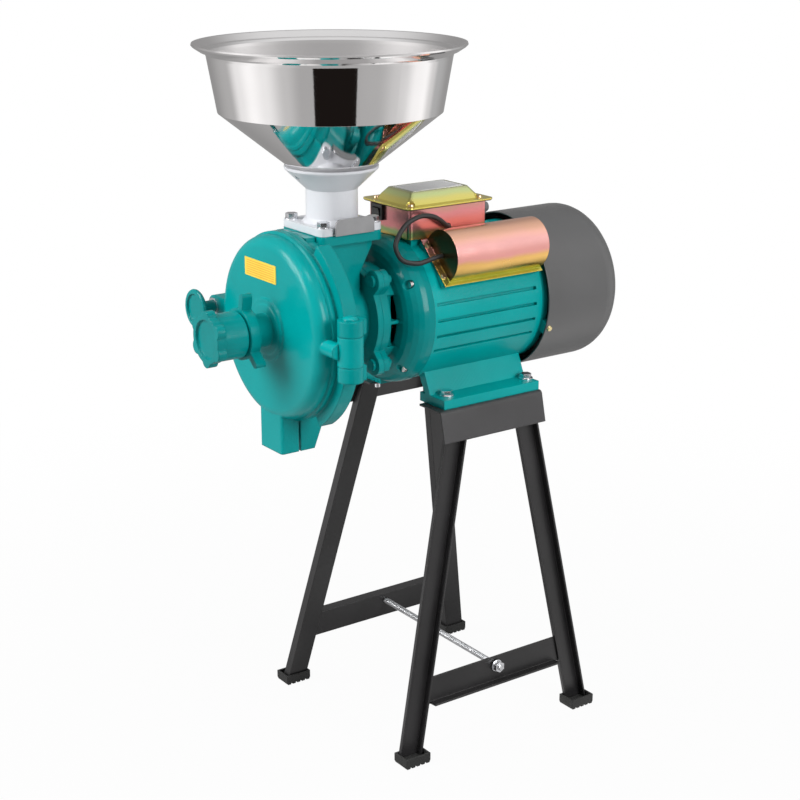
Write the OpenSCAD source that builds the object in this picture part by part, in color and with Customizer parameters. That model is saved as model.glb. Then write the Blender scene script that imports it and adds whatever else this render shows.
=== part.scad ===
// Electric grain mill: a disc mill on the end of a motor, standing on a four-legged stand.
// Millimetres. +Z is up, the shaft runs along Y over x = 0, and the adjusting knob faces -Y.
// The origin lies on the floor, under the middle of the whole machine.

/* [Overall] */
// Height of the shaft above the stand's top
shaft_rise = 112.5; // [108:0.5:125]
// From the adjusting knob's face back to the cover's parting plane
head_reach = 109; // [105:1:125]
// From the parting plane back to the joint between mill and motor
feed_len = 98; // [92:1:110]
// From that joint back to the motor frame
shield_len = 56; // [52:1:70]
// Length of the motor frame
frame_len = 168; // [160:2:200]
// From the motor frame back to the rear of the fan cowl
cowl_reach = 131; // [125:1:160]

/* [Stand] */
// Height of the rails' tops above the floor
stand_h = 435; // [400:5:440]
// Length of each top rail along the shaft
rail_len = 160; // [156:2:190]
// Width of a rail's flat top
rail_w = 44; // [42:1:50]
// Half the width over both rails
rail_half = 98; // [97:1:105]
// Depth of a rail's leaning skirt
rail_drop = 39; // [30:1:45]
// Outward lean of the skirt in degrees
skirt_lean = 13; // [8:1:15]
// Sheet thickness of rails, legs and crossbars
sheet_t = 2.5; // [2:0.5:3]
// Width of a leg's web
leg_w = 28; // [24:1:32]
// Depth of the lip along one edge of a leg
leg_lip = 12; // [9:1:12]
// Depth of the smaller lip along its other edge
leg_small_lip = 5; // [4:1:8]
// Distance from a rail's end to a leg's middle at the top
leg_inset = 31; // [28:1:40]
// Outward lean of all legs in degrees
side_lean = 5.5; // [3:0.5:8]
// Forward lean of the front legs in degrees
front_lean = 13.5; // [8:0.5:16]
// Backward lean of the rear legs in degrees
rear_lean = 9.3; // [8:0.1:16]
// Height of the crossbars' lower edges above the floor
crossbar_z = 64; // [50:2:120]
// Height of a crossbar
crossbar_h = 34; // [30:1:40]
// Depth of a crossbar's lip
crossbar_lip = 14; // [10:1:16]
// Diameter of the threaded tie rod
tie_rod_d = 8; // [6:1:10]
// Height of the rubber shoes
shoe_h = 13; // [10:1:18]
// Wall of the rubber shoes
shoe_wall = 2.2; // [2:0.1:3]
// Height of the teeth under the shoes
shoe_tooth = 3; // [2:0.5:4]

/* [Motor] */
// Radius over the motor frame's ribs
frame_r = 90; // [86:1:92]
// Number of grooves round the frame
frame_grooves = 28; // [20:2:36]
// Depth of the grooves
groove_depth = 5; // [3:0.5:6]
// Outer radius of the stator core, which the frame grips
stator_r = 70; // [66:1:72]
// Length of the stator core
core_len = 96; // [80:2:110]
// Half the distance between the foot bolt rows across the shaft
foot_bolt_x = 75; // [74:1:78]
// Distance between the foot bolts along the shaft
foot_bolt_pitch = 126; // [110:1:132]
// Shift of the foot bolts towards the rear
foot_bolt_shift = 9; // [5:1:10]
// Length of a motor foot along the shaft
foot_len = 150; // [146:1:156]
// Thickness of the motor's foot plates
foot_t = 11.5; // [8:0.5:14]
// Half the width over both foot plates
foot_half = 93; // [90:1:96]
// Diameter of the foot bolts
foot_bolt_d = 8; // [6:1:10]
// Outer radius of the front bearing
bearing_r = 26; // [24:1:30]
// Width of the bearings
bearing_w = 15; // [12:1:18]
// Radius of the shaft in the front bearing and through the mill
shaft_r = 12.5; // [11:0.5:14]
// Radius of the shaft behind the rotor
tail_r = 10; // [9:0.5:11]
// Running gap between a shaft and what it turns in
run_gap = 0.05; // [0.03:0.01:0.08]
// Outer radius of the fan cowl
cowl_r = 100; // [98:1:106]
// Sheet thickness of the fan cowl
cowl_t = 1.6; // [1.2:0.2:2.4]
// Radius of the rounded edge at the cowl's rear
cowl_round = 30; // [15:1:38]
// Width of the terminal box across the shaft
box_w = 86; // [80:1:92]
// Length of the terminal box along the shaft
box_len = 118; // [110:1:126]
// Height of the terminal box's body
box_h = 37; // [34:1:50]
// Overhang of the lid's flange past the box
lid_lip = 7; // [5:1:9]
// Height of the raised middle of the lid
lid_rise = 14; // [8:1:18]
// Radius of the capacitor's cover
cap_r = 32; // [29:1:34]
// Length of the capacitor's cover
cap_len = 142; // [136:1:146]
// Angle of the capacitor above the horizontal, in degrees
cap_turn = 46; // [42:1:50]
// Wall of the capacitor's cover
cap_wall = 1.6; // [1.2:0.2:2]

/* [Mill] */
// Outer radius of the grinding chamber
chamber_r = 114; // [112:1:122]
// Wall of the mill's castings
cast_t = 7; // [6:0.5:8]
// Depth of the front cover before the parting plane
cover_depth = 26; // [24:1:30]
// Depth of the chamber behind the parting plane
chamber_depth = 32; // [30:1:38]
// Radius of the grinding discs
disc_r = 88; // [80:1:92]
// Thickness of each grinding disc
disc_t = 12; // [10:0.5:13]
// Gap between the grinding discs
disc_gap = 0.6; // [0.4:0.1:1.5]
// Radius of the round part of the mill's rear flange
flange_r = 63; // [60:1:68]
// Thickness of the flange, and of the one that it meets
flange_t = 8; // [7:0.5:12]
// Radius of the circle of the flange bolts
flange_bolt_r = 73; // [72:1:78]
// Distance of the hinge axis from the shaft
hinge_x = 135; // [130:1:142]
// Radius of the hinge knuckles
knuckle_r = 15; // [12:0.5:17]
// Height of the hinge pin's hole through all knuckles
hinge_len = 72; // [66:1:90]
// Height of the cover's own knuckle
cover_knuckle = 35; // [30:1:40]
// Radius of the hinge pin
hinge_pin_r = 5; // [4:0.5:6]
// Width of the outlet spout
spout_w = 50; // [40:1:60]
// Reach of the spout below the shaft
spout_drop = 151; // [145:1:165]
// Slit between the two halves of the spout
spout_slit = 2.5; // [2:0.5:4]

/* [Adjusting knob] */
// Radius over the knob's lobes
knob_r = 34; // [32:1:40]
// Radius of the knob's barrel
barrel_r = 28; // [26:0.5:30]
// Number of lobes
knob_lobes = 6; // [5:1:10]
// Length of the knob with its barrel
knob_len = 43.5; // [40:0.5:50]
// Thickness of the lock ring
ring_t = 13; // [10:0.5:14]
// Reach of the lock ring's lugs from the shaft axis
ring_reach = 50; // [48:1:60]
// Radius of the cover's threaded neck
neck_r = 20; // [18:0.5:22]

/* [Clamp] */
// Distance of the clamp screw from the shaft
clamp_x = 133; // [132:1:140]
// Radius of the clamp's hand-knob
clamp_r = 25; // [20:1:26]
// Radius of the clamp's screw
clamp_screw_r = 5; // [4:0.5:6]

/* [Feed] */
// Distance of the hopper's axis behind the parting plane
hopper_back = 67.5; // [64:0.5:72]
// Height of the saddle that carries the inlet neck, above the shaft
saddle_rise = 111; // [108:1:118]
// Width of the saddle and the neck's flange
saddle_w = 88; // [84:1:94]
// Thickness of the saddle plate
saddle_t = 12; // [10:1:14]
// Outer radius of the inlet neck's tube
tube_r = 31; // [29:0.5:33]
// Wall of the inlet neck
tube_wall = 4.5; // [3.5:0.25:6]
// Height of the neck's tube above its flange
tube_h = 45; // [38:1:52]
// Outer radius of the bowl on top of the neck
bowl_r = 56; // [52:1:60]
// Height of that bowl
bowl_h = 21; // [18:1:23]
// Thickness of the feed gate
gate_t = 2.5; // [2:0.25:3]
// Width of the feed gate
gate_w = 54; // [50:1:58]
// Reach of the hopper's rim beyond its mouth
rim_reach = 17; // [14:1:24]
// Radius of the hopper's mouth inside the rim
mouth_r = 143; // [138:1:148]
// Radius of the hopper at its shoulder
shoulder_r = 132; // [126:1:136]
// Height of the hopper's upper wall, from shoulder to mouth
wall_h = 70; // [60:1:90]
// Height of the hopper's cone
cone_h = 84.5; // [82:0.5:96]
// Height of the rim above the mouth
rim_h = 9; // [6:1:12]
// Sheet thickness of the hopper
hopper_t = 1.5; // [1:0.25:2]

/* [Hidden] */

// Places along the shaft, from front to rear
total_len = head_reach + feed_len + shield_len + frame_len + cowl_reach;
shaft_h = stand_h + shaft_rise;
knob_face_y = -total_len / 2;
part_y = knob_face_y + head_reach;
cover_face_y = part_y - cover_depth;
joint_y = part_y + feed_len;
frame_front_y = joint_y + shield_len;
frame_rear_y = frame_front_y + frame_len;
frame_mid_y = (frame_front_y + frame_rear_y) / 2;
cowl_rear_y = frame_rear_y + cowl_reach;
big = 1000;

// Colours
teal = [0.0, 0.62, 0.58];
stand_black = [0.09, 0.09, 0.09];
rubber_black = [0.05, 0.05, 0.05];
zinc = [0.78, 0.78, 0.8];
gold_zinc = [0.82, 0.7, 0.38];
steel = [0.72, 0.72, 0.74];
casting_white = [0.9, 0.9, 0.92];
cowl_grey = [0.2, 0.2, 0.21];
copper = [0.75, 0.4, 0.2];
moulded_black = [0.08, 0.08, 0.09];

// Points of an arc about c, from angle a0 to a1
function arc(c, r, a0, a1, n = 8) = [for (i = [0:n]) c + r * [cos(a0 + (a1 - a0) * i / n),
    sin(a0 + (a1 - a0) * i / n)]];

// A body turned about the shaft axis: its outline holds [radius, y] points
module turned() {
    translate([0, 0, shaft_h]) rotate([-90, 0, 0]) rotate_extrude($fn = 120) children();
}

// An outline in (x, height above the shaft), made solid between two places along the shaft
module slab(y_front, y_rear) {
    translate([0, y_rear, shaft_h]) rotate([90, 0, 0]) linear_extrude(y_rear - y_front) children();
}

// An outline in (x, z) above the floor, made solid between two places along the shaft
module bar_along(y_front, y_rear) {
    translate([0, y_rear, 0]) rotate([90, 0, 0]) linear_extrude(y_rear - y_front) children();
}

// A rod along the shaft direction
module rod_y(x, z, y_front, y_rear, r, fn = 48) {
    translate([x, y_front, z]) rotate([-90, 0, 0]) cylinder(h = y_rear - y_front, r = r, $fn = fn);
}

// Repeats its children at the given angles about the shaft
module around_shaft(angles) {
    for (a = angles) translate([0, 0, shaft_h]) rotate([0, -a, 0]) translate([0, 0, -shaft_h]) children();
}

// Mirrors its children to the left side when asked
module on_side(side) {
    mirror([side < 0 ? 1 : 0, 0, 0]) children();
}

// A hexagon head or nut of a given thread size, standing on z = 0
module hex_head(d, h) {
    cylinder(h = h, r = d * 0.92, $fn = 6);
}

// ---------------------------------------------------------------- stand

// A rail's skirt measured across the sheet that leans
skirt_across = sheet_t / cos(skirt_lean);
skirt_in_top = rail_half + sheet_t * tan(skirt_lean) - skirt_across;
skirt_in_bottom = rail_half + rail_drop * tan(skirt_lean) - skirt_across;
rail_bend_r = 5;

module rail(side) {
    outer_bottom = [rail_half + rail_drop * tan(skirt_lean), stand_h - rail_drop];
    bend_x = rail_half - rail_bend_r * tan(45 - skirt_lean / 2);
    color(stand_black) on_side(side) difference() {
        bar_along(frame_mid_y - rail_len / 2, frame_mid_y + rail_len / 2) polygon(concat(
            [[rail_half - rail_w, stand_h]],
            arc([bend_x, stand_h - rail_bend_r], rail_bend_r, 90, skirt_lean, 6),
            [outer_bottom, [skirt_in_bottom, stand_h - rail_drop], [skirt_in_top, stand_h - sheet_t],
             [rail_half - rail_w, stand_h - sheet_t]]));
        for (y = foot_bolt_ys) translate([foot_bolt_x, y, stand_h - sheet_t - 1])
            cylinder(h = sheet_t + 2, r = foot_bolt_d / 2 + 0.5, $fn = 32);
    }
}
module rail_right() { rail(1); }
module rail_left() { rail(-1); }

// The frame plane leans outward about the line where the webs meet the rail's underside
web_top_x = skirt_in_bottom - leg_lip - (rail_drop) * tan(side_lean);
leg_top_y = rail_len / 2 - leg_inset;
leg_len = stand_h / (cos(side_lean) * cos(max(front_lean, rear_lean))) + 20;
shoe_floor = shoe_tooth + 3;

// One channel-shaped leg; end is -1 in front and 1 behind
module leg(side, end) {
    lean = end < 0 ? front_lean : rear_lean;
    // The deep lip lies on the rear edge on the right side and on the front edge on the left side
    deep_y = side > 0 ? leg_w / 2 - sheet_t : -leg_w / 2;
    small_y = side > 0 ? -leg_w / 2 : leg_w / 2 - sheet_t;
    color(stand_black) on_side(side) difference() {
        intersection() {
            translate([web_top_x, frame_mid_y + end * leg_top_y, stand_h])
                rotate([0, -side_lean, 0]) rotate([end * lean, 0, 0]) translate([0, 0, -leg_len]) union() {
                    translate([0, -leg_w / 2, 0]) cube([sheet_t, leg_w, leg_len + 40]);
                    translate([0, deep_y, 0]) cube([leg_lip, sheet_t, leg_len + 40]);
                    translate([0, small_y, 0]) cube([leg_small_lip, sheet_t, leg_len + 40]);
                }
            translate([-big / 2, -big / 2, shoe_floor]) cube([big, big, stand_h - sheet_t - shoe_floor]);
        }
        // Lips end against the inside of the skirt
        bar_along(-big / 2, big / 2) polygon([[skirt_in_top - 5 * tan(skirt_lean), stand_h - sheet_t + 5],
            [skirt_in_bottom, stand_h - rail_drop], [big, stand_h - rail_drop], [big, stand_h + 5]]);
    }
}
module leg_front_right() { leg(1, -1); }
module leg_front_left() { leg(-1, -1); }
module leg_rear_right() { leg(1, 1); }
module leg_rear_left() { leg(-1, 1); }

// Places in the leaning frame plane: d is the distance down from the rail
function down(z) = (stand_h - z) / cos(side_lean);
function front_edge(d) = -leg_top_y - d * tan(front_lean) + leg_w / 2 / cos(front_lean);
function rear_edge(d) = leg_top_y + d * tan(rear_lean) - leg_w / 2 / cos(rear_lean);
function web_in_x(z) = web_top_x + (stand_h - z) * tan(side_lean);
function web_out_x(z) = web_in_x(z) + sheet_t / cos(side_lean);
tie_rod_z = crossbar_z + crossbar_h * 0.66;
tie_rod_y = frame_mid_y - 8;
tie_nut_h = 6.5;
tie_washer_t = 1.5;

// A bar between two legs; its lip points outward, below on the right and above on the left
module crossbar(side) {
    top = down(crossbar_z + crossbar_h);
    bottom = down(crossbar_z);
    lip_top = side > 0 ? bottom - sheet_t : top;
    lip_from = front_edge(top) + 1;
    lip_to = rear_edge(top) - 1;
    color(stand_black) on_side(side) difference() {
        translate([web_top_x, frame_mid_y, stand_h]) rotate([0, -side_lean, 0]) rotate([90, 0, 90]) union() {
            linear_extrude(sheet_t) polygon([[front_edge(top), -top], [rear_edge(top), -top],
                [rear_edge(bottom), -bottom], [front_edge(bottom), -bottom]]);
            translate([lip_from, -lip_top - sheet_t, 0]) cube([lip_to - lip_from, sheet_t, crossbar_lip]);
        }
        translate([0, tie_rod_y, tie_rod_z]) rotate([0, 90, 0]) cylinder(h = big, r = tie_rod_d / 2 + 0.3,
            $fn = 32);
    }
}
module crossbar_right() { crossbar(1); }
module crossbar_left() { crossbar(-1); }

nut_seat_x = web_out_x(tie_rod_z - tie_rod_d) + 0.05;
module tie_rod() {
    half = nut_seat_x + tie_washer_t + tie_nut_h + 2.5;
    color(zinc) translate([-half, tie_rod_y, tie_rod_z]) rotate([0, 90, 0]) union() {
        translate([0, 0, 1]) cylinder(h = 2 * half - 2, r = tie_rod_d / 2, $fn = 32);
        cylinder(h = 1, r1 = tie_rod_d / 2 - 1, r2 = tie_rod_d / 2, $fn = 32);
        translate([0, 0, 2 * half - 1]) cylinder(h = 1, r1 = tie_rod_d / 2, r2 = tie_rod_d / 2 - 1, $fn = 32);
    }
}

module tie_rod_nuts() {
    color(zinc) for (side = [-1, 1]) on_side(side) translate([nut_seat_x, tie_rod_y, tie_rod_z])
        rotate([0, 90, 0]) difference() {
            union() {
                cylinder(h = tie_washer_t, r = tie_rod_d, $fn = 40);
                translate([0, 0, tie_washer_t]) hex_head(tie_rod_d, tie_nut_h);
            }
            translate([0, 0, -1]) cylinder(h = tie_nut_h + tie_washer_t + 2, r = tie_rod_d / 2, $fn = 32);
        }
}

// Where a leg's middle line meets a height z, counted from the stand's middle
function leg_y(end, z) = end * (leg_top_y + (stand_h - z) / cos(side_lean)
    * tan(end < 0 ? front_lean : rear_lean));

// An open rubber tray on toothed ribs, in which a leg stands
module shoe(side, end) {
    slip = 0.4;
    y_a = leg_y(end, shoe_floor) + end * (leg_w / 2 + 1);
    y_b = leg_y(end, shoe_h) - end * (leg_w / 2 + 1);
    y_lo = min(y_a, y_b) - slip;
    y_hi = max(y_a, y_b) + slip;
    x_lo = web_in_x(shoe_h) - slip;
    x_hi = web_out_x(shoe_floor) + leg_lip + 6;
    width = x_hi - x_lo + 2 * shoe_wall;
    length = y_hi - y_lo + 2 * shoe_wall;
    teeth = 5;
    pitch = length / teeth;
    on_side(side) translate([x_lo - shoe_wall, frame_mid_y + y_lo - shoe_wall, 0]) union() {
        difference() {
            translate([0, 0, shoe_tooth]) cube([width, length, shoe_h - shoe_tooth]);
            translate([shoe_wall, shoe_wall, shoe_floor]) cube([width - 2 * shoe_wall,
                length - 2 * shoe_wall, shoe_h]);
        }
        for (i = [0:teeth - 1]) translate([0, (i + 0.5) * pitch, 0]) rotate([90, 0, 90])
            linear_extrude(width) polygon([[-pitch * 0.3, 0], [pitch * 0.3, 0],
                [pitch * 0.48, shoe_tooth + 0.2], [-pitch * 0.48, shoe_tooth + 0.2]]);
    }
}

module rubber_shoes() {
    color(rubber_black) for (side = [-1, 1], end = [-1, 1]) shoe(side, end);
}

foot_bolt_ys = [frame_mid_y + foot_bolt_shift - foot_bolt_pitch / 2,
    frame_mid_y + foot_bolt_shift + foot_bolt_pitch / 2];

// Hexagon bolts with washers and nuts, through the motor's feet and the rails
module foot_bolts() {
    washer = 1.6;
    head = foot_bolt_d * 0.66;
    color(zinc) for (side = [-1, 1], y = foot_bolt_ys) translate([side * foot_bolt_x, y, stand_h]) union() {
        translate([0, 0, -sheet_t - foot_bolt_d - 4]) cylinder(h = foot_t + sheet_t + foot_bolt_d + 5,
            r = foot_bolt_d / 2, $fn = 32);
        translate([0, 0, foot_t]) cylinder(h = washer, r = foot_bolt_d * 1.15, $fn = 40);
        translate([0, 0, foot_t + washer]) hex_head(foot_bolt_d, head);
        translate([0, 0, -sheet_t - foot_bolt_d * 0.8]) hex_head(foot_bolt_d, foot_bolt_d * 0.8);
    }
}

// ---------------------------------------------------------------- motor

frame_inner_r = stator_r;
box_floor_z = shaft_h + frame_r + 2;
box_mid_y = frame_mid_y - 29;
// A flat on the frame that carries the capacitor's cover
cap_base_r = frame_r + 3;
cap_mid_y = frame_mid_y + 10;
cap_base_w = 2 * cap_r + 4;
cap_lip = 3;
cap_screw_len = 12;
cap_flange = 9;
cap_axis_h = 11;

module motor_frame() {
    front = frame_mid_y - foot_len / 2 + 4;
    rear = front + foot_len;
    foot_top = stand_h + foot_t;
    slope_x = frame_r * 0.56;
    web_x = foot_bolt_x - foot_bolt_d * 1.15 - 2;
    slope_z = shaft_h - frame_r * 0.8;
    color(teal) difference() {
        union() {
            turned() polygon([[frame_inner_r - 4, frame_front_y], [frame_r, frame_front_y],
                [frame_r, frame_rear_y], [frame_inner_r - 4, frame_rear_y]]);
            // Pad under the terminal box
            translate([-box_w / 2 + 8, box_mid_y - box_len / 2 + 8, shaft_h]) cube([box_w - 16,
                box_len - 16, frame_r + 2]);
            // Flat seat under the capacitor's cover
            around_shaft([cap_turn]) translate([frame_r - 30, cap_mid_y - cap_len / 2 - cap_flange + 1,
                shaft_h - cap_base_w / 2 + 2])
                cube([cap_base_r - frame_r + 30, cap_len + cap_flange - 4, cap_base_w - 4]);
            // Feet: a leaning web down to a flat plate on each side
            for (side = [-1, 1]) on_side(side) bar_along(front, rear) polygon([[slope_x, slope_z], [web_x,
                foot_top],
                [foot_half, foot_top], [foot_half, stand_h], [web_x - 21, stand_h], [web_x - 21, foot_top],
                [web_x - 11, foot_top], [slope_x - 12, slope_z - 4], [slope_x - 20, slope_z + 30]]);
        }
        // Grooves between the ribs, clear of the feet, the pad and the flat
        for (i = [0:frame_grooves - 1]) {
            a = i * 360 / frame_grooves;
            on_foot = a > 180 && (abs(a - 270) < 62);
            if (!on_foot && abs(a - 90) > 30 && abs(a - cap_turn) > 24)
                around_shaft([a]) translate([frame_r - groove_depth, frame_front_y + 5, shaft_h - 1.9])
                    cube([big, frame_len - 14, 3.8]);
        }
        // Room for the stator, with the shields' spigots at both ends
        turned() polygon([[0, frame_front_y - 1], [frame_inner_r, frame_front_y - 1], [frame_inner_r,
            frame_rear_y + 1], [0, frame_rear_y + 1]]);
        for (side = [-1, 1], y = foot_bolt_ys) translate([side * foot_bolt_x, y, stand_h - 1])
            cylinder(h = foot_t + 2, r = foot_bolt_d / 2 + 0.5, $fn = 32);
        // Wire hole from the stator into the terminal box
        translate([0, box_mid_y, shaft_h]) cylinder(h = big, r = 9, $fn = 32);
        for (a = shield_screw_turns) around_shaft([a]) {
            rod_y(shield_screw_r, shaft_h, frame_front_y - 1, frame_front_y + shield_screw_hold + 0.6, 2.6,
                24);
            rod_y(shield_screw_r, shaft_h, frame_rear_y - shield_screw_hold - 0.6, frame_rear_y + 1, 2.6, 24);
        }
        for (p = cap_screw_places) cap_place(p) translate([0, 0, -cap_screw_len])
            cylinder(h = cap_screw_len + 1, r = 2.1, $fn = 24);
    }
}

shield_screw_r = frame_r - 6;
shield_screw_turns = [33, 135, 213, 313];
shield_screw_hold = 7;
shield_head = 4;
shield_seat_y = frame_front_y - 20;
tail_seat_y = frame_rear_y + 9.6;
front_flange_y = joint_y + flange_t;
bearing_y = joint_y + 6;
bell_t = 6;
ear_r = 13;

// The scalloped outline that the mill's rear flange and the motor's front flange share
module flange_outline() {
    union() {
        circle(r = flange_r, $fn = 96);
        for (a = [45:90:315]) rotate(a) {
            translate([flange_bolt_r, 0]) circle(r = ear_r, $fn = 48);
            translate([flange_r / 2, -ear_r]) square([flange_bolt_r - flange_r / 2, 2 * ear_r]);
        }
    }
}

module front_shield() {
    seat_rear = bearing_y + bearing_w + 4;
    hub_r = bearing_r + 7;
    wall_y = bearing_y + 8;
    lantern_y = front_flange_y + 14;
    rim_y = frame_front_y - 9;
    outer = concat([[flange_r, joint_y], [flange_r, lantern_y]],
        [for (a = [75:-15:0]) [flange_r + (frame_r + 2 - flange_r) * cos(a), rim_y - (rim_y - lantern_y)
            * sin(a)]],
        [[frame_r + 2, frame_front_y]]);
    inner = concat([[stator_r - bell_t, frame_front_y], [stator_r - bell_t, rim_y - 6]],
        [[flange_r - bell_t, lantern_y + 3], [flange_r - bell_t, wall_y + 6], [hub_r, wall_y + 6], [hub_r,
            seat_rear],
         [bearing_r, seat_rear], [bearing_r, wall_y - 2], [flange_r - bell_t, wall_y - 2],
             [flange_r - bell_t, joint_y]]);
    color(teal) difference() {
        union() {
            turned() polygon(concat(outer, inner));
            slab(joint_y, front_flange_y) difference() {
                flange_outline();
                circle(r = flange_r - 4, $fn = 96);
            }
            // Small lug under the bell
            translate([-9, lantern_y - 4, shaft_h - flange_r - 14]) cube([18, 14, 18]);
        }
        // Cooling windows on both sides, above and below the shaft
        for (side = [-1, 1], up = [-1, 1]) translate([side * (flange_r + 8), lantern_y - 5,
            shaft_h + up * 17])
            cube([44, 12, 30], center = true);
        around_shaft([45:90:315]) rod_y(flange_bolt_r, shaft_h, joint_y - 1, front_flange_y + 1, 4.2, 32);
        around_shaft(shield_screw_turns) rod_y(shield_screw_r, shaft_h, rim_y - 60, frame_front_y + 1, 3, 24);
        around_shaft(shield_screw_turns) rod_y(shield_screw_r, shaft_h, rim_y - 60, shield_seat_y, 5.5, 32);
    }
}

module rear_shield() {
    hub_y = frame_rear_y + 4;
    color(teal) difference() {
        union() {
            turned() polygon([[tail_bearing_r, hub_y + bearing_w + 3], [tail_bearing_r, frame_rear_y + 4],
                [shaft_mid_r + 2, frame_rear_y + 4],
                [shaft_mid_r + 2, frame_rear_y], [frame_r, frame_rear_y], [frame_r, frame_rear_y + 9],
                    [tail_bearing_r + 7, frame_rear_y + 12],
                [tail_bearing_r + 7, hub_y + bearing_w + 3]]);
            // Lugs that the fan cowl is screwed to
            around_shaft(cowl_screw_turns) translate([frame_r - 12, frame_rear_y + 2, shaft_h - 8])
                cube([cowl_r - cowl_t - frame_r + 12 - 0.3, 14, 16]);
        }
        around_shaft(cowl_screw_turns) translate([cowl_r - 14, frame_rear_y + 9, shaft_h]) rotate([0, 90, 0])
            cylinder(h = 20, r = 2, $fn = 24);
        for (a = shield_screw_turns) around_shaft([a]) rod_y(shield_screw_r, shaft_h, frame_rear_y - 1,
            frame_rear_y + 20, 3, 24);
    }
}
tail_bearing_r = bearing_r - 3;
cowl_screw_turns = [-20, 70, 160, 250];

// Cheese-head screws that pull both shields onto the frame
module shield_screws() {
    color(zinc) for (a = shield_screw_turns) around_shaft([a]) {
        rod_y(shield_screw_r, shaft_h, shield_seat_y - 1, frame_front_y + shield_screw_hold, 2.3, 24);
        rod_y(shield_screw_r, shaft_h, shield_seat_y - shield_head, shield_seat_y, 4.4, 32);
        rod_y(shield_screw_r, shaft_h, frame_rear_y - shield_screw_hold, tail_seat_y + 1, 2.3, 24);
        rod_y(shield_screw_r, shaft_h, tail_seat_y, tail_seat_y + shield_head, 4.4, 32);
    }
}

core_front_y = frame_mid_y - core_len / 2;
core_rear_y = frame_mid_y + core_len / 2;
air_gap = 0.5;
rotor_r = 39.5;
slots = 24;
slot_w = 5;
slot_depth = 15;

module stator_core() {
    color(steel) difference() {
        turned() polygon([[rotor_r + air_gap, core_front_y], [stator_r, core_front_y], [stator_r,
            core_rear_y], [rotor_r + air_gap, core_rear_y]]);
        around_shaft([for (i = [0:slots - 1]) i * 360 / slots]) translate([rotor_r - 2, core_front_y - 1,
            shaft_h - slot_w / 2])
            cube([slot_depth + 2, core_len + 2, slot_w]);
    }
}

// Bars in every slot, joined by the end turns
module stator_windings() {
    overhang = 14;
    fit = 0.2;
    low = rotor_r + 3;
    color(copper) union() {
        around_shaft([for (i = [0:slots - 1]) i * 360 / slots])
            translate([low, core_front_y - 2, shaft_h - slot_w / 2 + fit])
                cube([rotor_r + slot_depth - fit - low, core_len + 4, slot_w - 2 * fit]);
        for (y = [core_front_y - overhang, core_rear_y + fit]) turned() polygon([[low, y], [stator_r - 8, y],
            [stator_r - 8, y + overhang - fit], [low, y + overhang - fit]]);
    }
}

module rotor_core() {
    ring = 8;
    color(steel) turned() polygon([[shaft_mid_r, core_front_y - ring], [rotor_r - 5, core_front_y - ring],
        [rotor_r - 5, core_front_y],
        [rotor_r, core_front_y], [rotor_r, core_rear_y], [rotor_r - 5, core_rear_y], [rotor_r - 5,
            core_rear_y + ring], [shaft_mid_r, core_rear_y + ring]]);
}
shaft_mid_r = shaft_r + 3;
shaft_front_y = part_y - 8;
shaft_shoulder_y = bearing_y + bearing_w;
tail_shoulder_y = frame_rear_y + 4;
shaft_rear_y = tail_shoulder_y + bearing_w + 66;

module motor_shaft() {
    color(steel) turned() polygon([[0, shaft_front_y], [shaft_r - 1, shaft_front_y], [shaft_r,
        shaft_front_y + 1], [shaft_r, shaft_shoulder_y],
        [shaft_mid_r, shaft_shoulder_y], [shaft_mid_r, tail_shoulder_y - 1], [tail_r, tail_shoulder_y - 1],
        [tail_r, shaft_rear_y - 1], [tail_r - 1, shaft_rear_y], [0, shaft_rear_y]]);
}

// A sealed ball bearing, drawn as its two rings and shields in one
module bearing(y, bore, r) {
    color(zinc) turned() polygon([[bore, y], [bore + 3, y], [bore + 3, y + 0.8], [r - 3, y + 0.8], [r - 3,
        y], [r, y], [r, y + bearing_w],
        [r - 3, y + bearing_w], [r - 3, y + bearing_w - 0.8], [bore + 3, y + bearing_w - 0.8], [bore + 3,
            y + bearing_w], [bore, y + bearing_w]]);
}
module front_bearing() { bearing(bearing_y, shaft_r + run_gap, bearing_r); }
module rear_bearing() { bearing(tail_shoulder_y, tail_r + run_gap, tail_bearing_r); }

fan_y = tail_shoulder_y + bearing_w + 20;
module cooling_fan() {
    blades = 8;
    blade_len = 44;
    hub_r = 18;
    color(moulded_black) union() {
        turned() polygon([[tail_r, fan_y], [hub_r, fan_y], [hub_r, fan_y + 1], [cowl_r - 26, fan_y + 4],
            [cowl_r - 26, fan_y + 7], [hub_r, fan_y + 4],
            [hub_r, fan_y + blade_len], [tail_r, fan_y + blade_len]]);
        around_shaft([for (i = [0:blades - 1]) i * 360 / blades]) translate([hub_r - 2, fan_y + 4,
            shaft_h - 1.5])
            cube([cowl_r - 28 - hub_r, blade_len - 4, 3]);
    }
}

// The sheet cowl: open in front over the frame, closed behind but for its air slots
module fan_cowl() {
    front = frame_rear_y + 3;
    inner_round = cowl_round - cowl_t;
    round_c = [cowl_r - cowl_round, cowl_rear_y - cowl_round];
    slot_rings = [28, 40, 52];
    color(cowl_grey) difference() {
        turned() polygon(concat([[cowl_r - cowl_t, front], [cowl_r, front]], arc(round_c, cowl_round, 0, 90,
            9),
            [[0, cowl_rear_y], [0, cowl_rear_y - cowl_t]], arc(round_c, inner_round, 90, 0, 9)));
        for (r = slot_rings, i = [0:11]) around_shaft([i * 30]) translate([r, cowl_rear_y - 5,
            shaft_h - r * 0.19]) cube([5, 10, r * 0.38]);
        around_shaft(cowl_screw_turns) translate([cowl_r - 10, frame_rear_y + 9, shaft_h]) rotate([0, 90, 0])
            cylinder(h = 20, r = 2.4, $fn = 24);
    }
}

module cowl_screws() {
    color(zinc) around_shaft(cowl_screw_turns) translate([cowl_r, frame_rear_y + 9, shaft_h]) rotate([0, 90,
        0]) union() {
        translate([0, 0, -11]) cylinder(h = 12, r = 2, $fn = 24);
        cylinder(h = 2.2, r1 = 4, r2 = 3, $fn = 32);
    }
}

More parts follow.
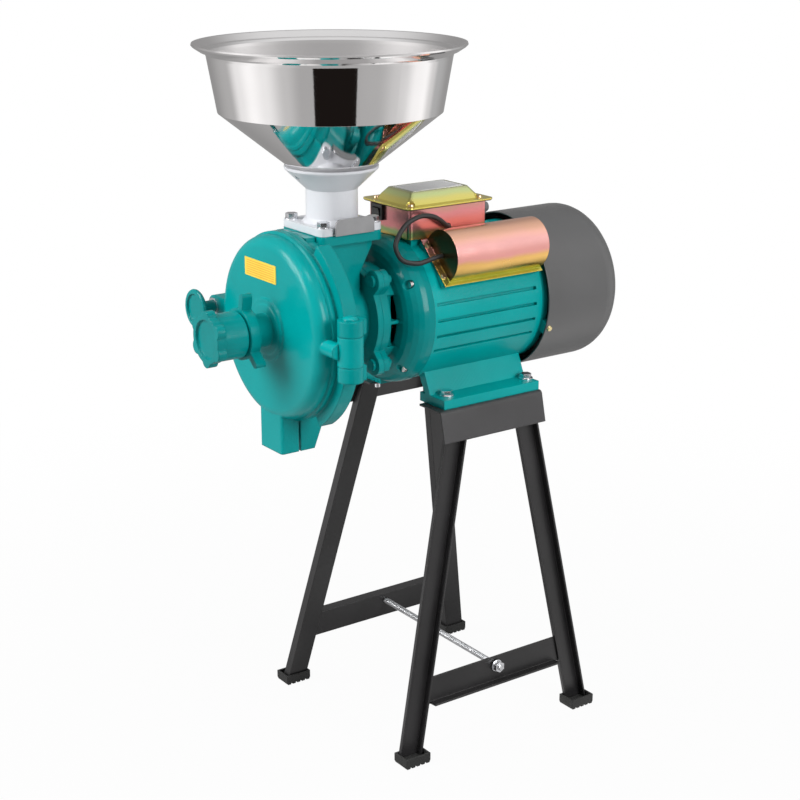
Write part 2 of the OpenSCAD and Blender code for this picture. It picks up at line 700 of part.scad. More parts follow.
// ---------------------------------------------------------------- terminal box, switch, gland

box_top_z = box_floor_z + box_h;
box_wall = 2;
gasket_t = 1;
lid_t = 2;
lid_screw_len = 11;
lid_screw_spots = [for (sx = [-1, 1], sy = [-1, 1]) [sx * (box_w / 2 - 7),
    box_mid_y + sy * (box_len / 2 - 7)]];

// A rounded rectangle in plan
module plan(w, l, r) {
    union() {
        square([w - 2 * r, l], center = true);
        square([w, l - 2 * r], center = true);
        for (sx = [-1, 1], sy = [-1, 1]) translate([sx * (w / 2 - r), sy * (l / 2 - r)]) circle(r = r,
            $fn = 32);
    }
}

module terminal_box() {
    color(gold_zinc) difference() {
        union() {
            difference() {
                translate([0, box_mid_y, box_floor_z]) linear_extrude(box_h) plan(box_w, box_len, 5);
                translate([0, box_mid_y, box_floor_z + box_wall]) linear_extrude(box_h)
                    plan(box_w - 2 * box_wall, box_len - 2 * box_wall, 3.5);
            }
            // Corner posts for the lid screws
            for (p = lid_screw_spots) translate([p[0], p[1], box_floor_z]) cylinder(h = box_h, r = 4.5,
                $fn = 32);
        }
        for (p = lid_screw_spots) translate([p[0], p[1], box_top_z - lid_screw_len])
            cylinder(h = lid_screw_len + 2, r = 2, $fn = 24);
        translate([0, box_mid_y, box_floor_z - 1]) cylinder(h = 6, r = 9, $fn = 32);
        // Windows for the switch in front and the gland behind
        translate([switch_x - switch_w / 2, box_mid_y - box_len / 2 - 1, switch_z - switch_h / 2])
            cube([switch_w, 5, switch_h]);
        rod_y(gland_x, gland_z, box_mid_y + box_len / 2 - 5, box_mid_y + box_len / 2 + 2, gland_r, 32);
        translate([box_w / 2 - 4, lead_y, lead_z]) rotate([0, 90, 0]) cylinder(h = 8, r = lead_r + 0.6,
            $fn = 32);
    }
}

lid_w = box_w + 2 * lid_lip;
lid_len = box_len + 2 * lid_lip;
lid_slope = 12;
raised_w = box_w - 10;
raised_len = box_len - 8;
module lid_gasket() {
    color(rubber_black) translate([0, box_mid_y, box_top_z]) difference() {
        linear_extrude(gasket_t) plan(lid_w - 2, lid_len - 2, 7);
        translate([0, 0, -1]) linear_extrude(gasket_t + 2) plan(box_w - 24, box_len - 24, 5);
        for (p = lid_screw_spots) translate([p[0], p[1] - box_mid_y, -1]) cylinder(h = gasket_t + 2,
            r = 2.4, $fn = 24);
    }
}

// A pressed lid: a flange all round a raised middle with sloping sides
module terminal_lid() {
    z0 = box_top_z + gasket_t;
    color(gold_zinc) difference() {
        union() {
            translate([0, box_mid_y, z0]) linear_extrude(lid_t) plan(lid_w, lid_len, 8);
            difference() {
                lid_middle(z0 + lid_t - 0.5, 0, lid_rise + 0.5);
                lid_notches(z0, 6);
            }
        }
        difference() {
            lid_middle(z0 - 0.1, 1.5, lid_rise + lid_t - 1.5);
            lid_notches(z0 - 1, 7.5);
        }
        for (p = lid_screw_spots) translate([p[0], p[1], z0 - 1]) cylinder(h = lid_t + 2, r = 2.4, $fn = 24);
    }
}

// The raised middle of the lid from height z, drawn in from its outside by a wall
module lid_middle(z, wall, h) {
    translate([0, box_mid_y, z]) hull() {
        linear_extrude(0.1) plan(raised_w - 2 * wall, raised_len - 2 * wall, 6);
        translate([0, 0, h - 0.1]) linear_extrude(0.1)
            plan(raised_w - 2 * wall - 2 * lid_slope, raised_len - 2 * wall - 2 * lid_slope, 4);
    }
}

module lid_notches(z, r) {
    for (p = lid_screw_spots) translate([p[0], p[1], z]) cylinder(h = lid_rise + 10, r = r, $fn = 32);
}

module lid_screws() {
    z0 = box_top_z + gasket_t + lid_t;
    color(zinc) for (p = lid_screw_spots) translate([p[0], p[1], z0]) union() {
        translate([0, 0, -lid_screw_len]) cylinder(h = lid_screw_len + 1, r = 1.9, $fn = 24);
        cylinder(h = 2.4, r1 = 4, r2 = 3, $fn = 32);
    }
}

module lid_label() {
    color([0.92, 0.92, 0.9]) translate([0, box_mid_y, box_top_z + gasket_t + lid_t + lid_rise])
        linear_extrude(0.4)
        plan(raised_w - 2 * lid_slope - 8, raised_len - 2 * lid_slope - 10, 2);
}

module terminal_block() {
    poles = 3;
    pole_w = 12;
    color(moulded_black) translate([0, box_mid_y + 28, box_floor_z + box_wall]) difference() {
        translate([-poles * pole_w / 2, -8, 0]) cube([poles * pole_w, 16, 14]);
        for (i = [0:poles - 1]) translate([(i - (poles - 1) / 2) * pole_w, 0, 5]) cylinder(h = 12, r = 3.5,
            $fn = 24);
    }
}

switch_w = 19;
switch_h = 15;
switch_x = -box_w / 2 + 12.5 + switch_w / 2;
switch_z = box_floor_z + box_h - 11;
switch_depth = 16;
rocker_pivot_y = box_mid_y - box_len / 2 - 2;

// The switch: a frame clipped in the box's front wall, open towards its rocker
module switch_body() {
    y_wall = box_mid_y - box_len / 2;
    half_w = switch_w / 2 - 2 - 0.35;
    color(moulded_black) translate([switch_x, 0, switch_z]) difference() {
        union() {
            translate([-switch_w / 2 + 0.2, y_wall, -switch_h / 2 + 0.2]) cube([switch_w - 0.4,
                switch_depth, switch_h - 0.4]);
            translate([-switch_w / 2 - 2, y_wall - 4, -switch_h / 2 - 2]) cube([switch_w + 4, 4,
                switch_h + 4]);
        }
        translate([-switch_w / 2 + 2, y_wall - 5, -switch_h / 2 + 2]) cube([switch_w - 4, 12, switch_h - 4]);
        // Seats for the rocker's trunnions
        translate([-half_w - 1.4, rocker_pivot_y, 0]) rotate([0, 90, 0]) cylinder(h = 2 * half_w + 2.8,
            r = 1.8, $fn = 24);
    }
}

// The rocker turns about a line across its middle
module switch_rocker() {
    half_w = switch_w / 2 - 2 - 0.35;
    half_h = switch_h / 2 - 2 - 0.35;
    color(moulded_black) translate([switch_x, rocker_pivot_y, switch_z]) rotate([90, 0, 90])
        union() {
            translate([0, 0, -half_w]) linear_extrude(2 * half_w) polygon([[-4.4, half_h - 0.4], [-3.2, 0],
                [-4.4, -half_h + 0.4],
                [-1, -half_h + 0.1], [3, -1.2], [3, 1.2], [-1, half_h - 0.1]]);
            translate([0, 0, -half_w - 1]) cylinder(h = 2 * half_w + 2, r = 1.5, $fn = 24);
        }
}

gland_r = 8;
gland_x = box_w / 2 - 12.5 - gland_r;
gland_z = box_floor_z + box_h - 13;
module cable_gland() {
    wall_y = box_mid_y + box_len / 2;
    color([0.45, 0.46, 0.47]) difference() {
        union() {
            rod_y(gland_x, gland_z, wall_y - 6, wall_y, gland_r - 0.2, 32);
            translate([gland_x, wall_y, gland_z]) rotate([-90, 0, 0]) cylinder(h = 6, r = gland_r + 3,
                $fn = 6);
            translate([gland_x, wall_y + 6, gland_z]) rotate([-90, 0, 0]) cylinder(h = 9, r1 = gland_r + 2,
                r2 = gland_r - 2, $fn = 32);
        }
        rod_y(gland_x, gland_z, wall_y - 7, wall_y + 16, 4, 32);
    }
}

// ---------------------------------------------------------------- capacitor

// Places on the capacitor's seat: p is [across the seat, along the shaft from its middle]
module cap_place(p) {
    around_shaft([cap_turn]) translate([cap_base_r, cap_mid_y + p[1], shaft_h + p[0]]) rotate([0, 90, 0])
        children();
}
cap_screw_places = [for (sx = [-1, 1]) [sx * (cap_base_w / 2 - 11), -(cap_len + cap_flange) / 2]];

// The rolled cover: a half round on straight sides, closed at both ends, with end flanges
module capacitor_cover() {
    color(gold_zinc) around_shaft([cap_turn]) translate([cap_base_r, cap_mid_y + cap_len / 2, shaft_h])
        rotate([90, 0, 0])
        difference() {
            union() {
                linear_extrude(cap_len) cap_outline(cap_r);
                translate([0, -cap_base_w / 2 - cap_lip, 0]) cube([cap_wall, cap_base_w + cap_lip,
                    cap_len + cap_flange]);
            }
            translate([-1, 0, cap_wall]) linear_extrude(cap_len - 2 * cap_wall) cap_outline(cap_r - cap_wall);
            for (sx = [-1, 1]) translate([-1, sx * (cap_base_w / 2 - 11), cap_len + cap_flange / 2])
                rotate([0, 90, 0]) cylinder(h = cap_wall + 2, r = 2.4, $fn = 24);
            translate([cap_axis_h, 0, cap_len - 4]) cylinder(h = 8, r = lead_r + 0.6, $fn = 32);
        }
}
module cap_outline(r) {
    union() {
        translate([0, -r]) square([cap_axis_h, 2 * r]);
        translate([cap_axis_h, 0]) intersection() {
            circle(r = r, $fn = 72);
            translate([0, -r]) square([r, 2 * r]);
        }
    }
}

module capacitor() {
    r = (cap_r + cap_axis_h - cap_wall) / 2 - 1.5;
    length = cap_len - 30;
    color([0.12, 0.12, 0.13]) around_shaft([cap_turn]) union() {
        rod_y(cap_base_r + r + 0.3, shaft_h, cap_mid_y - length / 2, cap_mid_y + length / 2, r, 48);
        translate([cap_base_r, cap_mid_y - length / 2 + 10, shaft_h - 8]) cube([r, 12, 16]);
        translate([cap_base_r, cap_mid_y + length / 2 - 22, shaft_h - 8]) cube([r, 12, 16]);
    }
}

module capacitor_screws() {
    color(zinc) for (p = cap_screw_places) cap_place(p) translate([0, 0, cap_wall]) union() {
        translate([0, 0, -cap_screw_len]) cylinder(h = cap_screw_len + 1, r = 2, $fn = 24);
        cylinder(h = 2.6, r1 = 4.4, r2 = 3.4, $fn = 32);
    }
}

// The lead from the terminal box to the capacitor, which hangs in one loop in front.
// Its points are places on its middle line, joined by a smooth curve.
lead_r = 3;
lead_y = box_mid_y;
lead_z = box_floor_z + 11;
lead_wall_x = box_w / 2;
lead_end_r = cap_base_r + cap_axis_h;
lead_end = [lead_end_r * cos(cap_turn), cap_mid_y - cap_len / 2, shaft_h + lead_end_r * sin(cap_turn)];
lead_points = [
    [lead_wall_x - 8, lead_y, lead_z], [lead_wall_x, lead_y, lead_z],
    [lead_wall_x + 7, lead_y - 7, lead_z + 2], [lead_wall_x + 12, lead_y - 29, lead_z + 16],
    [lead_wall_x + 13, lead_y - 51, lead_z + 20], [lead_wall_x + 14, lead_y - 73, lead_z + 13],
    [lead_wall_x + 15, lead_y - 87, lead_z - 2], lead_end + [-12, -59, 14],
    lead_end + [-8, -52, 0], lead_end + [-2, -34, -5],
    lead_end + [-0.5, -16, -2], lead_end + [0, -3, 0], lead_end + [0, 8, 0]
];
lead_steps = 4;
lead_sides = 10;

// A smooth curve through points p, with n steps from each point to the next
function smooth_at(p, i, t) = let(a = p[max(i - 1, 0)], b = p[i], c = p[i + 1], d = p[min(i + 2, len(p) - 1)])
    0.5 * (2 * b + (c - a) * t + (2 * a - 5 * b + 4 * c - d) * t * t + (3 * b - a - 3 * c + d) * t * t * t);
function smooth(p, n) = concat([for (i = [0:len(p) - 2], k = [0:n - 1]) smooth_at(p, i, k / n)], [p[len(p)
    - 1]]);
function unit(v) = v / norm(v);
function heading(p, i) = unit(p[min(i + 1, len(p) - 1)] - p[max(i - 1, 0)]);
function across(h) = unit(cross(h, abs(h[2]) < 0.9 ? [0, 0, 1] : [0, 1, 0]));
// The sideways direction carried along the curve without twist
function sides(p, i, s) = i >= len(p) ? [] : let(h = heading(p, i), next = unit(s - (s * h) * h))
    concat([next], sides(p, i + 1, next));

// A tube of radius r along points p
module tube(p, r, n) {
    s = sides(p, 0, across(heading(p, 0)));
    rings = [for (i = [0:len(p) - 1], k = [0:n - 1]) let(h = heading(p, i), a = k * 360 / n)
        p[i] + r * (cos(a) * s[i] + sin(a) * cross(h, s[i]))];
    last = (len(p) - 1) * n;
    walls = [for (i = [0:len(p) - 2], k = [0:n - 1]) [i * n + k, (i + 1) * n + k, (i + 1) * n + (k + 1) % n,
        i * n + (k + 1) % n]];
    polyhedron(rings, concat(walls, [[for (k = [0:n - 1]) k], [for (k = [n - 1:-1:0]) last + k]]));
}

module capacitor_lead() {
    color(rubber_black) tube(smooth(lead_points, lead_steps), lead_r, lead_sides);
}

// ---------------------------------------------------------------- mill

chamber_rear_y = part_y + chamber_depth;
chamber_floor_y = chamber_rear_y - cast_t;
hopper_y = part_y + hopper_back;
saddle_z = shaft_h + saddle_rise;
barrel_bore_r = 33;
barrel_outer_r = 45;
hinge_y = part_y + 2;
hinge_gap = 0.3;
cover_gap = 0.3;
cover_rim_y = part_y - cover_gap;
spout_z = shaft_h - spout_drop;
duct_w = 50;
// The clamp's lugs on cover and housing
lug_r = 14;
lug_t = 20;
lug_gap = 0.3;
clamp_hole_r = clamp_screw_r + 1.2;

// A lug beside the chamber, as an outline in (x, height above the shaft)
module clamp_lug_outline() {
    union() {
        translate([-clamp_x, 0]) circle(r = lug_r, $fn = 48);
        translate([-clamp_x, -lug_r]) square([clamp_x - chamber_r + 12, 2 * lug_r]);
    }
}

// The arm that carries one housing knuckle, above the shaft's height
module hinge_arm_outline() {
    low = cover_knuckle / 2 + hinge_gap;
    polygon(concat([[chamber_r - 8, low], [hinge_x + 6, low], [hinge_x + 6, hinge_len / 2]],
        arc([0, 0], chamber_r + 14, asin(hinge_len / 2 / (chamber_r + 14)), 58, 10), arc([0, 0],
            chamber_r - 12, 58, 14, 6)));
}

module mill_housing() {
    lip = 3;
    color(teal) difference() {
        union() {
            turned() polygon(concat([[0, part_y], [chamber_r, part_y], [chamber_r, part_y + 7],
                [chamber_r - lip, part_y + 7.5]],
                arc([chamber_r - lip - 16, chamber_rear_y - 16], 16, 0, 90, 6), [[0, chamber_rear_y]]));
            turned() polygon([[0, part_y + 10], [barrel_outer_r, part_y + 10], [barrel_outer_r, joint_y],
                [0, joint_y]]);
            slab(joint_y - flange_t, joint_y) flange_outline();
            // Duct from the saddle down into the feed barrel
            translate([-duct_w / 2 - cast_t, 0, 0]) rotate([90, 0, 90]) linear_extrude(duct_w + 2 * cast_t)
                polygon([
                [part_y + 10, shaft_h], [part_y + 10, saddle_z - 1], [hopper_y + tube_r + 4, saddle_z - 1],
                [hopper_y + tube_r + 4, saddle_z - saddle_t - 8], [joint_y - flange_t - 5,
                    shaft_h + flange_r - 4],
                [joint_y - flange_t - 5, shaft_h]]);
            translate([0, hopper_y, saddle_z - saddle_t]) linear_extrude(saddle_t) plan(saddle_w, saddle_w,
                8);
            // Hinge arms with their knuckles
            for (up = [0, 1]) translate([0, 0, shaft_h]) mirror([0, 0, up]) translate([0, 0, -shaft_h]) {
                slab(hinge_y, hinge_y + 18) hinge_arm_outline();
                translate([hinge_x, hinge_y, shaft_h + cover_knuckle / 2 + hinge_gap])
                    cylinder(h = hinge_len / 2 - cover_knuckle / 2 - hinge_gap, r = knuckle_r, $fn = 64);
            }
            slab(part_y + lug_gap, part_y + lug_t) clamp_lug_outline();
            // Rear half of the spout
            translate([-spout_w / 2, 0, 0]) rotate([90, 0, 90]) linear_extrude(spout_w) polygon([
                [part_y + spout_slit, spout_z], [part_y + chamber_depth - 10, spout_z],
                    [part_y + chamber_depth + 2, spout_z + 30],
                [part_y + chamber_depth, shaft_h - chamber_r + 20], [part_y + spout_slit,
                    shaft_h - chamber_r + 20]]);
        }
        // The chamber, the feed barrel and the shaft's way out behind
        turned() polygon([[0, part_y - 1], [chamber_r - cast_t, part_y - 1], [chamber_r - cast_t,
            chamber_floor_y], [barrel_bore_r, chamber_floor_y],
            [barrel_bore_r, joint_y - flange_t], [shaft_r + 0.6, joint_y - flange_t], [shaft_r + 0.6,
                joint_y + 1], [0, joint_y + 1]]);
        translate([-duct_w / 2, 0, 0]) rotate([90, 0, 90]) linear_extrude(duct_w) polygon([
            [chamber_rear_y, shaft_h + 20], [chamber_rear_y, saddle_z - saddle_t], [hopper_y - duct_w / 2,
                saddle_z + 1],
            [hopper_y + duct_w / 2, saddle_z + 1], [hopper_y + duct_w / 2, saddle_z - saddle_t - 2],
            [joint_y - flange_t - 12, shaft_h + flange_r - 4], [joint_y - flange_t - 12, shaft_h + 20]]);
        translate([hinge_x, hinge_y, shaft_h - hinge_len]) cylinder(h = 2 * hinge_len, r = hinge_pin_r,
            $fn = 48);
        // The cover's own knuckle turns in this gap
        translate([hinge_x, hinge_y, shaft_h - cover_knuckle / 2 - hinge_gap])
            cylinder(h = cover_knuckle + 2 * hinge_gap, r = knuckle_r + 1, $fn = 64);
        // Spout channel, open to the chamber above
        translate([-spout_w / 2 + 5, part_y - 1, spout_z - 1]) cube([spout_w - 10,
            chamber_depth - 10 - 5 + 1, shaft_h - chamber_r + 34 - spout_z]);
        for (a = [45:90:315]) around_shaft([a]) rod_y(flange_bolt_r, shaft_h, joint_y - flange_t - 1,
            joint_y + 1, 4.2, 32);
        rod_y(-clamp_x, shaft_h, part_y - 1, part_y + lug_t + 1, clamp_hole_r, 32);
        for (p = neck_bolt_spots) translate([p[0], p[1], saddle_z - saddle_t - 1])
            cylinder(h = saddle_t + 2, r = 4.3, $fn = 32);
        for (a = disc_screw_turns) around_shaft([a]) rod_y(disc_screw_r, shaft_h, chamber_floor_y - 1,
            chamber_rear_y - 1.5, 2.6, 24);
    }
}
neck_bolt_pitch = saddle_w - 18;
neck_bolt_spots = [for (sx = [-1, 1], sy = [-1, 1]) [sx * neck_bolt_pitch / 2,
    hopper_y + sy * neck_bolt_pitch / 2]];
disc_screw_r = disc_r * 0.68;
disc_screw_turns = [30, 150, 270];

// Round-headed bolts with nuts, through the ears of both flanges
module flange_bolts() {
    color(teal) around_shaft([45:90:315]) union() {
        rod_y(flange_bolt_r, shaft_h, joint_y - flange_t - 1, joint_y + flange_t + 9, 4, 32);
        rod_y(flange_bolt_r, shaft_h, joint_y - flange_t - 4, joint_y - flange_t, 7.5, 40);
        translate([flange_bolt_r, joint_y + flange_t, shaft_h]) rotate([-90, 0, 0]) hex_head(8, 6.5);
    }
}

// A sleeve on the shaft with one flight that pushes the grain forward
module feed_auger() {
    flight_r = barrel_bore_r - 2;
    flight_t = 6;
    rear = joint_y - flange_t - 2;
    length = rear - (chamber_floor_y - disc_t + 2);
    turns = 1.1;
    color(steel) translate([0, rear, shaft_h]) rotate([90, 0, 0]) difference() {
        union() {
            cylinder(h = length, r = shaft_r + 4, $fn = 48);
            linear_extrude(length, twist = -360 * turns, slices = 40) translate([0, -flight_t / 2])
                square([flight_r, flight_t]);
        }
        translate([0, 0, -1]) cylinder(h = length + 2, r = shaft_r, $fn = 48);
    }
}

// Grooves across a disc's face, slanting off its radius
module face_grooves(count, y, depth) {
    for (i = [0:count - 1]) around_shaft([i * 360 / count]) translate([0, y, shaft_h]) rotate([0, 20, 0])
        translate([barrel_bore_r + 14, -depth, 3]) cube([disc_r, 2 * depth, 3]);
}

module fixed_disc() {
    color([0.45, 0.45, 0.46]) difference() {
        turned() polygon([[barrel_bore_r + 1, chamber_floor_y - disc_t], [disc_r, chamber_floor_y - disc_t],
            [disc_r, chamber_floor_y], [barrel_bore_r + 1, chamber_floor_y]]);
        face_grooves(18, chamber_floor_y - disc_t, 1.5);
        for (a = disc_screw_turns) around_shaft([a]) {
            rod_y(disc_screw_r, shaft_h, chamber_floor_y - disc_t - 1, chamber_floor_y + 1, 3, 24);
            rod_y(disc_screw_r, shaft_h, chamber_floor_y - disc_t - 1, chamber_floor_y - disc_t + 5, 5.6, 32);
        }
    }
}

module disc_screws() {
    front = chamber_floor_y - disc_t + 5;
    color(zinc) for (a = disc_screw_turns) around_shaft([a]) {
        rod_y(disc_screw_r, shaft_h, front, chamber_rear_y - 2, 2.5, 24);
        rod_y(disc_screw_r, shaft_h, front - 3, front, 5, 32);
    }
}

disc_front_y = chamber_floor_y - 2 * disc_t - disc_gap;
module rotating_disc() {
    hub_r = 24;
    color([0.45, 0.45, 0.46]) difference() {
        turned() polygon([[shaft_r, disc_front_y - 7], [hub_r, disc_front_y - 7], [hub_r, disc_front_y],
            [disc_r, disc_front_y],
            [disc_r, disc_front_y + disc_t], [barrel_bore_r + 8, disc_front_y + disc_t], [hub_r + 4,
                disc_front_y + disc_t - 3],
            [shaft_r, disc_front_y + disc_t - 3]]);
        face_grooves(18, disc_front_y + disc_t, 1.5);
    }
}

// ---------------------------------------------------------------- front cover

neck_len = ring_t + 26;
boss_r = 38;
screw_r = 10;
pin_r = 6;
cover_arm_r = 9.5;
cover_arm_y = part_y - 12;

module front_cover() {
    face_r = chamber_r - 17;
    inner_y = cover_face_y + cast_t;
    lip = 3;
    spout_depth = cover_depth - 2;
    spout_h = spout_drop - chamber_r + 26;
    color(teal) difference() {
        union() {
            turned() polygon(concat(
                [[0, cover_face_y - neck_len], [neck_r - 1, cover_face_y - neck_len], [neck_r,
                    cover_face_y - neck_len + 1],
                 [neck_r, cover_face_y - 3.5], [boss_r - 8, cover_face_y - 3.5], [boss_r - 7,
                     cover_face_y - 2.5],
                 [boss_r - 1, cover_face_y - 2.5], [boss_r, cover_face_y]],
                arc([face_r, cover_face_y + 14], 14, -90, 0, 7),
                [[chamber_r - lip, part_y - 6.5], [chamber_r, part_y - 6], [chamber_r, cover_rim_y], [0,
                    cover_rim_y]]));
            slab(cover_face_y + 4, cover_rim_y) clamp_lug_outline();
            // Front half of the spout
            translate([0, cover_rim_y - spout_depth / 2, spout_z]) linear_extrude(spout_h) plan(spout_w,
                spout_depth, 4);
            translate([-spout_w / 2, cover_rim_y - 8, spout_z]) cube([spout_w, 8, spout_h]);
            // Arm and knuckle of the hinge
            translate([chamber_r - 16, cover_arm_y, shaft_h]) rotate([0, 90, 0])
                cylinder(h = hinge_x - chamber_r + 14, r = cover_arm_r, $fn = 48);
            translate([hinge_x, hinge_y, shaft_h - cover_knuckle / 2]) cylinder(h = cover_knuckle,
                r = knuckle_r, $fn = 64);
        }
        turned() polygon([[0, inner_y], [chamber_r - cast_t - 8, inner_y], [chamber_r - cast_t,
            inner_y + 8], [chamber_r - cast_t, part_y + 1], [0, part_y + 1]]);
        translate([hinge_x, hinge_y, shaft_h - cover_knuckle]) cylinder(h = 2 * cover_knuckle,
            r = hinge_pin_r + run_gap, $fn = 48);
        rod_y(0, shaft_h, cover_face_y - neck_len - 1, inner_y + 1, screw_r + run_gap, 48);
        rod_y(-clamp_x, shaft_h, cover_face_y, part_y + 1, clamp_screw_r + run_gap, 32);
        translate([-spout_w / 2 + 5, part_y - cover_depth + 7, spout_z - 1]) cube([spout_w - 10,
            cover_depth - 6, shaft_h - chamber_r + 34 - spout_z]);
    }
}

// A bare plate on the cover's face
label_w = 70;
label_h = 22;
label_x = -12;
label_z = 69;
module cover_label() {
    color([0.95, 0.8, 0.25]) slab(cover_face_y - 0.5, cover_face_y) translate([label_x, label_z])
        plan(label_w, label_h, 1);
}

// A headed pin through all knuckles; the housing holds it
module hinge_pin() {
    cap = 3;
    color(teal) translate([hinge_x, hinge_y, shaft_h - hinge_len / 2]) rotate_extrude($fn = 64)
        polygon(concat([[0, 0], [hinge_pin_r, 0], [hinge_pin_r, hinge_len]], [[hinge_pin_r + 4, hinge_len]],
            [for (a = [0:15:90]) [(hinge_pin_r + 4) * cos(a), hinge_len + 1 + cap * sin(a)]]));
}

knob_grip = 11;
knob_rear_y = knob_face_y + knob_len;
screw_rear_y = cover_face_y + 2;

// The hand-knob: a lobed grip, a barrel and the adjusting screw behind it
module adjusting_knob() {
    valley_r = knob_r - 5;
    color(teal) difference() {
        union() {
            slab(knob_face_y, knob_face_y + knob_grip) union() {
                circle(r = valley_r, $fn = 72);
                for (i = [0:knob_lobes - 1]) rotate(30 + i * 360 / knob_lobes) translate([knob_r - 9, 0])
                    circle(r = 9, $fn = 40);
            }
            turned() polygon([[0, knob_face_y + knob_grip - 1], [barrel_r, knob_face_y + knob_grip - 1],
                [barrel_r, knob_rear_y - 2],
                [barrel_r - 2, knob_rear_y], [0, knob_rear_y]]);
            rod_y(0, shaft_h, knob_rear_y - 1, screw_rear_y, screw_r, 48);
        }
        // Recess in the face, and the socket that holds the thrust pin
        turned() polygon([[0, knob_face_y - 1], [valley_r - 5, knob_face_y - 1], [valley_r - 7,
            knob_face_y + 3], [0, knob_face_y + 3]]);
        rod_y(0, shaft_h, knob_rear_y - 6, screw_rear_y + 1, pin_r + run_gap, 40);
    }
}

// A ring nut with three lugs that locks the adjusting screw
module lock_ring() {
    ring_r = neck_r + 11;
    ring_front_y = cover_face_y - neck_len;
    lugs = 3;
    first = 80;
    color(teal) slab(ring_front_y, ring_front_y + ring_t) difference() {
        union() {
            circle(r = ring_r, $fn = 72);
            for (i = [0:lugs - 1]) rotate(first + i * 360 / lugs) union() {
                translate([neck_r + 4, -4]) square([ring_reach - neck_r - 8, 8]);
                translate([ring_reach - 4, 0]) circle(r = 4, $fn = 32);
            }
        }
        circle(r = neck_r + run_gap, $fn = 72);
    }
}

// The pin that the screw pushes against the shaft's end
pin_gap = 0.4;
module thrust_pin() {
    color(steel) turned() polygon([[0, knob_rear_y - 5.7], [pin_r, knob_rear_y - 5.7], [pin_r,
        shaft_front_y - pin_gap - 3],
        [pin_r - 3, shaft_front_y - pin_gap], [0, shaft_front_y - pin_gap]]);
}

// ---------------------------------------------------------------- clamp

lug_front_y = cover_face_y + 4;
clamp_washer_t = 2.5;
clamp_stem = 20;
clamp_reach = 12;

// A round hand-knob on a stem, with its screw through the cover's lug
module clamp_knob() {
    seat = lug_front_y - clamp_washer_t;
    color(teal) translate([-clamp_x, 0, 0]) difference() {
        union() {
            rod_y(0, shaft_h, seat - clamp_stem, seat, 8, 48);
            rod_y(0, shaft_h, seat - 1, part_y + clamp_reach, clamp_screw_r, 40);
            turned() polygon(concat([[0, seat - clamp_stem]], [[clamp_r - 3, seat - clamp_stem]],
                arc([clamp_r - 3, seat - clamp_stem - 3], 3, 90, -90, 6), [[0, seat - clamp_stem - 6]]));
        }
        turned() polygon([[0, seat - clamp_stem - 8], [clamp_r - 5, seat - clamp_stem - 8], [clamp_r - 7,
            seat - clamp_stem - 3.5],
            [0, seat - clamp_stem - 3.5]]);
    }
}

module clamp_washer() {
    color(zinc) translate([-clamp_x, 0, 0]) turned() polygon([[clamp_screw_r + run_gap,
        lug_front_y - clamp_washer_t], [11, lug_front_y - clamp_washer_t],
        [11, lug_front_y], [clamp_screw_r + run_gap, lug_front_y]]);
}

// ---------------------------------------------------------------- feed

neck_flange_t = 9;
gate_slip = 0.3;
gate_in = 34;
gate_out = saddle_w / 2 + 3;
neck_top_z = saddle_z + neck_flange_t + tube_h;
cone_bottom_r = tube_r - tube_wall - 1;
cone_top_z = neck_top_z + cone_h;
cone_slope = (shoulder_r - cone_bottom_r) / cone_h;

// The white casting between saddle and hopper; its foot holds the gate's slot
module inlet_neck() {
    bowl_in_r = cone_bottom_r + cone_slope * bowl_h;
    bowl_z = neck_top_z - 6;
    color(casting_white) difference() {
        union() {
            translate([0, hopper_y, saddle_z]) linear_extrude(neck_flange_t) plan(saddle_w, saddle_w, 8);
            translate([0, hopper_y, 0]) rotate_extrude($fn = 128) polygon(concat(
                [[cone_bottom_r - 2, saddle_z + 1], [tube_r + 6, saddle_z + 1], [tube_r + 6,
                    saddle_z + neck_flange_t - 1],
                 [tube_r, saddle_z + neck_flange_t + 5], [tube_r, bowl_z], [bowl_r, neck_top_z + bowl_h - 3],
                 [bowl_r, neck_top_z + bowl_h]],
                [[bowl_in_r, neck_top_z + bowl_h], [cone_bottom_r - 2, neck_top_z - 2 / cone_slope]]));
        }
        translate([0, hopper_y, saddle_z - 1]) cylinder(h = neck_flange_t + tube_h + 3,
            r = tube_r - tube_wall, $fn = 128);
        translate([-gate_in - gate_slip, hopper_y - gate_w / 2 - gate_slip, saddle_z - 1])
            cube([gate_in + saddle_w, gate_w + 2 * gate_slip, gate_t + 2 * gate_slip + 1]);
        // Small hole in the front of the bowl
        translate([0, hopper_y - bowl_r - 1, neck_top_z + 10]) rotate([-90, 0, 0]) cylinder(h = 14, r = 2.5,
            $fn = 24);
        for (p = neck_bolt_spots) translate([p[0], p[1], saddle_z - 1]) cylinder(h = neck_flange_t + 2,
            r = 4.3, $fn = 32);
    }
}

module neck_bolts() {
    color(zinc) for (p = neck_bolt_spots) translate([p[0], p[1], saddle_z]) union() {
        translate([0, 0, -saddle_t + 1]) cylinder(h = saddle_t + neck_flange_t, r = 4, $fn = 32);
        translate([0, 0, neck_flange_t]) cylinder(h = 1.5, r = 8, $fn = 40);
        translate([0, 0, neck_flange_t + 1.5]) hex_head(8, 5.5);
    }
}

// A sheet slide with an upturned tab at its outer end
module feed_gate() {
    tab_h = 19;
    tab_r = 7;
    color([0.6, 0.61, 0.62]) translate([0, hopper_y, saddle_z + gate_slip]) union() {
        translate([-gate_in, -gate_w / 2, 0]) cube([gate_in + gate_out, gate_w, gate_t]);
        translate([gate_out, 0, 0]) rotate([90, 0, 90]) linear_extrude(gate_t) union() {
            translate([-gate_w / 2, 0]) square([gate_w, tab_h - tab_r]);
            translate([-gate_w / 2 + tab_r, 0]) square([gate_w - 2 * tab_r, tab_h]);
            for (sx = [-1, 1]) translate([sx * (gate_w / 2 - tab_r), tab_h - tab_r]) circle(r = tab_r,
                $fn = 32);
        }
    }
}

